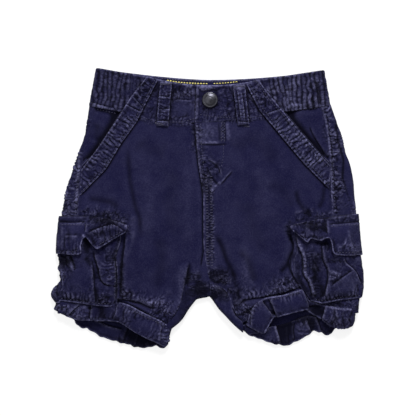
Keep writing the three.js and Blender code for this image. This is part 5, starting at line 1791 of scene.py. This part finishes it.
def stitches(name, rows, material, seek):
    """All the stitches of a thread. One that has no cloth under it or crosses a step is left out."""
    points, faces = [], []
    for pitch, length, radius, line in rows:
        line = curve(line, STITCH_CURVE)
        along = lengths_of(line)
        for start in np.arange(0, along[-1] - length, pitch):
            hits = [seek(place) for place in places_at(np.array([start, start + length]), along, line)]
            if any(hit is None for hit in hits) or abs(hits[0][0].z - hits[1][0].z) > HIGHEST_STEP * MM:
                continue
            up = (hits[0][1] + hits[1][1]).normalized()
            more, sides = dash(hits[0][0], hits[1][0], up, radius * MM)
            faces.extend(tuple(i + len(points) for i in face) for face in sides)
            points.extend(more)
    mesh = bpy.data.meshes.new(name)
    mesh.from_pydata([tuple(p) for p in points], [], faces)
    put(name, mesh, material, [])


def bartack_rows():
    """Dense bars of thread that hold the belt loops and the slant pockets, one stitch in each row."""
    spacing, half = 0.62, 0.9
    rows = []
    for start, end in BARTACKS:
        start, end = np.array(start, float), np.array(end, float)
        way = unit(end - start)
        across = np.array([-way[1], way[0]]) * half
        count = int(np.linalg.norm(end - start) / spacing)
        for k in range(count):
            centre = mix(start, end, (k + 0.5) / count)
            rows.append([ONE_STITCH, 1.7, 0.3, [tuple(centre - across), tuple(centre + across)]])
    return rows


def ladder_rows():
    """Rungs that lie across a seam sewn down twice, one stitch in each row."""
    rows = []
    for pitch, half, radius, line in LADDERS:
        line = curve(line, STITCH_CURVE)
        along = lengths_of(line)
        for x, y in places_at(np.arange(0, along[-1], pitch), along, line):
            rows.append([ONE_STITCH, 1.9 * half, radius, [(x - half, y), (x + half, y + 0.2)]])
    return rows


def snap():
    """A domed cap with a rolled rim and a shallow ring, turned about its axis."""
    low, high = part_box("snap_cap")
    centre = (low + high) / 2
    height = (high.z - low.z) / MM
    sides = 56
    points = [(0, 0, 0)]
    for radius, z in SNAP_PROFILE:
        for k in range(sides):
            angle = 2 * math.pi * k / sides
            points.append((radius * math.cos(angle), radius * math.sin(angle), z * height / SNAP_HEIGHT))
    points.append((0, 0, height))
    faces = tube_faces(len(SNAP_PROFILE), sides, 1)
    top = len(points) - 1
    for k in range(sides):
        following = (k + 1) % sides
        faces.append((0, 1 + following, 1 + k))
        faces.append((top - sides + k, top - sides + following, top))
    base = Vector((centre.x, centre.y, low.z))
    mesh = bpy.data.meshes.new("snap")
    mesh.from_pydata([tuple(base + Vector(p) * MM) for p in points], [], faces)
    put("snap", mesh, metal_material(), ["snap_cap"])


# ---- the garment -----------------------------------------------------------------------------------

# The pieces of a half in plain twill: kind, the function that gives the sheets, wall.
HALF_PIECES = [
    ("front", front_panel, CLOTH),
    ("hip_pocket", hip_pocket, CLOTH),
    ("back", back_panel, CLOTH),
    ("waistband_front", front_band, BAND_WALL),
    ("slant_band", slant_band, CLOTH),
    ("belt_loop", belt_loop, CLOTH),
    ("cargo_pocket", cargo_pocket, CLOTH),
    ("cargo_flap", cargo_flap, CLOTH),
]


def build_cloth():
    twill = cloth_material("navy_twill", COLOURS["navy"])
    elastic = cloth_material("gathered_twill", COLOURS["navy"])
    for side in ("right", "left"):
        for kind, sheets_of, wall in HALF_PIECES:
            cloth_piece(f"{kind}_{side}", sheets_of(side), wall, twill)
        cloth_piece(f"cuff_{side}", cuff(side), CUFF_WALL, elastic)
    cloth_piece("waistband_back", back_band(), BAND_WALL, elastic)


def surface_seeker():
    """A function that finds the highest cloth over a plan point, and its normal."""
    above_all = 0.1
    vertices, faces = [], []
    for piece in PIECES.values():
        base = len(vertices)
        vertices.extend(v.co.copy() for v in piece.data.vertices)
        faces.extend(tuple(i + base for i in p.vertices) for p in piece.data.polygons)
    tree = BVHTree.FromPolygons(vertices, faces)

    def seek(place):
        x, y, _ = to_frame((place[0], place[1], 0))
        hit, normal, _, _ = tree.ray_cast(Vector((x, y, above_all)), Vector((0, 0, -1)))
        if hit is None:
            return None
        return hit, normal if normal.z > 0 else -normal

    return seek


def build_details():
    seek = surface_seeker()
    navy = thread_material("navy_thread", COLOURS["thread"])
    stitches("stitches_navy", NAVY_STITCHES + bartack_rows() + ladder_rows(), navy, seek)
    yellow = thread_material("yellow_thread", COLOURS["yellow"])
    stitches("stitches_yellow", YELLOW_STITCHES, yellow, seek)
    snap()


# ---- camera, floor and light -----------------------------------------------------------------------

VIEW = SimpleNamespace(middle=(-1.8, 1.8), width=374.4, height=7)  # what is seen, at the front cloth's height
LAMPS = [
    # name, place, size and power
    ("key", (0.15, 1.0, 0.95), 0.4, 17.0),
    ("fill", (-0.6, 0.1, 1.4), 1.2, 4.0),
]


def build_camera(scene):
    """Straight overhead, over the middle of the garment."""
    camera = bpy.data.cameras.new("camera")
    camera.lens, camera.sensor_width = 85, 36
    eye = bpy.data.objects.new("camera", camera)
    centre_x, centre_y, _ = to_frame((*VIEW.middle, 0))
    distance = VIEW.width * MM * camera.lens / camera.sensor_width
    eye.location = (centre_x, centre_y, VIEW.height * MM + distance)
    scene.collection.objects.link(eye)
    scene.camera = eye


def build_floor():
    """A plain white floor that glows a little, so that it stays white."""
    bpy.ops.mesh.primitive_plane_add(size=6)
    floor = bpy.context.object
    floor.name = "floor"
    n = Nodes("floor")
    n.set(Base_Color=(0.3, 0.3, 0.3, 1), Roughness=1.0, Specular_IOR_Level=0.0,
          Emission_Color=(1, 1, 1, 1), Emission_Strength=0.8)
    floor.data.materials.append(n.material)


def build_lights(scene):
    world = bpy.data.worlds.new("studio")
    scene.world = world
    world.use_nodes = True
    background = world.node_tree.nodes["Background"]
    background.inputs["Color"].default_value = (1, 1, 1, 1)
    background.inputs["Strength"].default_value = 0.3
    for name, place, size, power in LAMPS:
        light = bpy.data.lights.new(name, "AREA")
        light.size, light.energy = size, power
        lamp = bpy.data.objects.new(name, light)
        lamp.location = place
        lamp.rotation_mode = "QUATERNION"
        lamp.rotation_quaternion = (-Vector(place)).to_track_quat("-Z", "Y")
        scene.collection.objects.link(lamp)


def build_stage():
    scene = bpy.context.scene
    build_camera(scene)
    build_floor()
    build_lights(scene)
    scene.view_settings.view_transform = "Standard"


low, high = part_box("snap_cap")
SHIFT = np.array([(low.x + high.x) / 2 / MM - SNAP_AT[0], (low.y + high.y) / 2 / MM - SNAP_AT[1], 0.0])
build_stage()
build_cloth()
build_details()
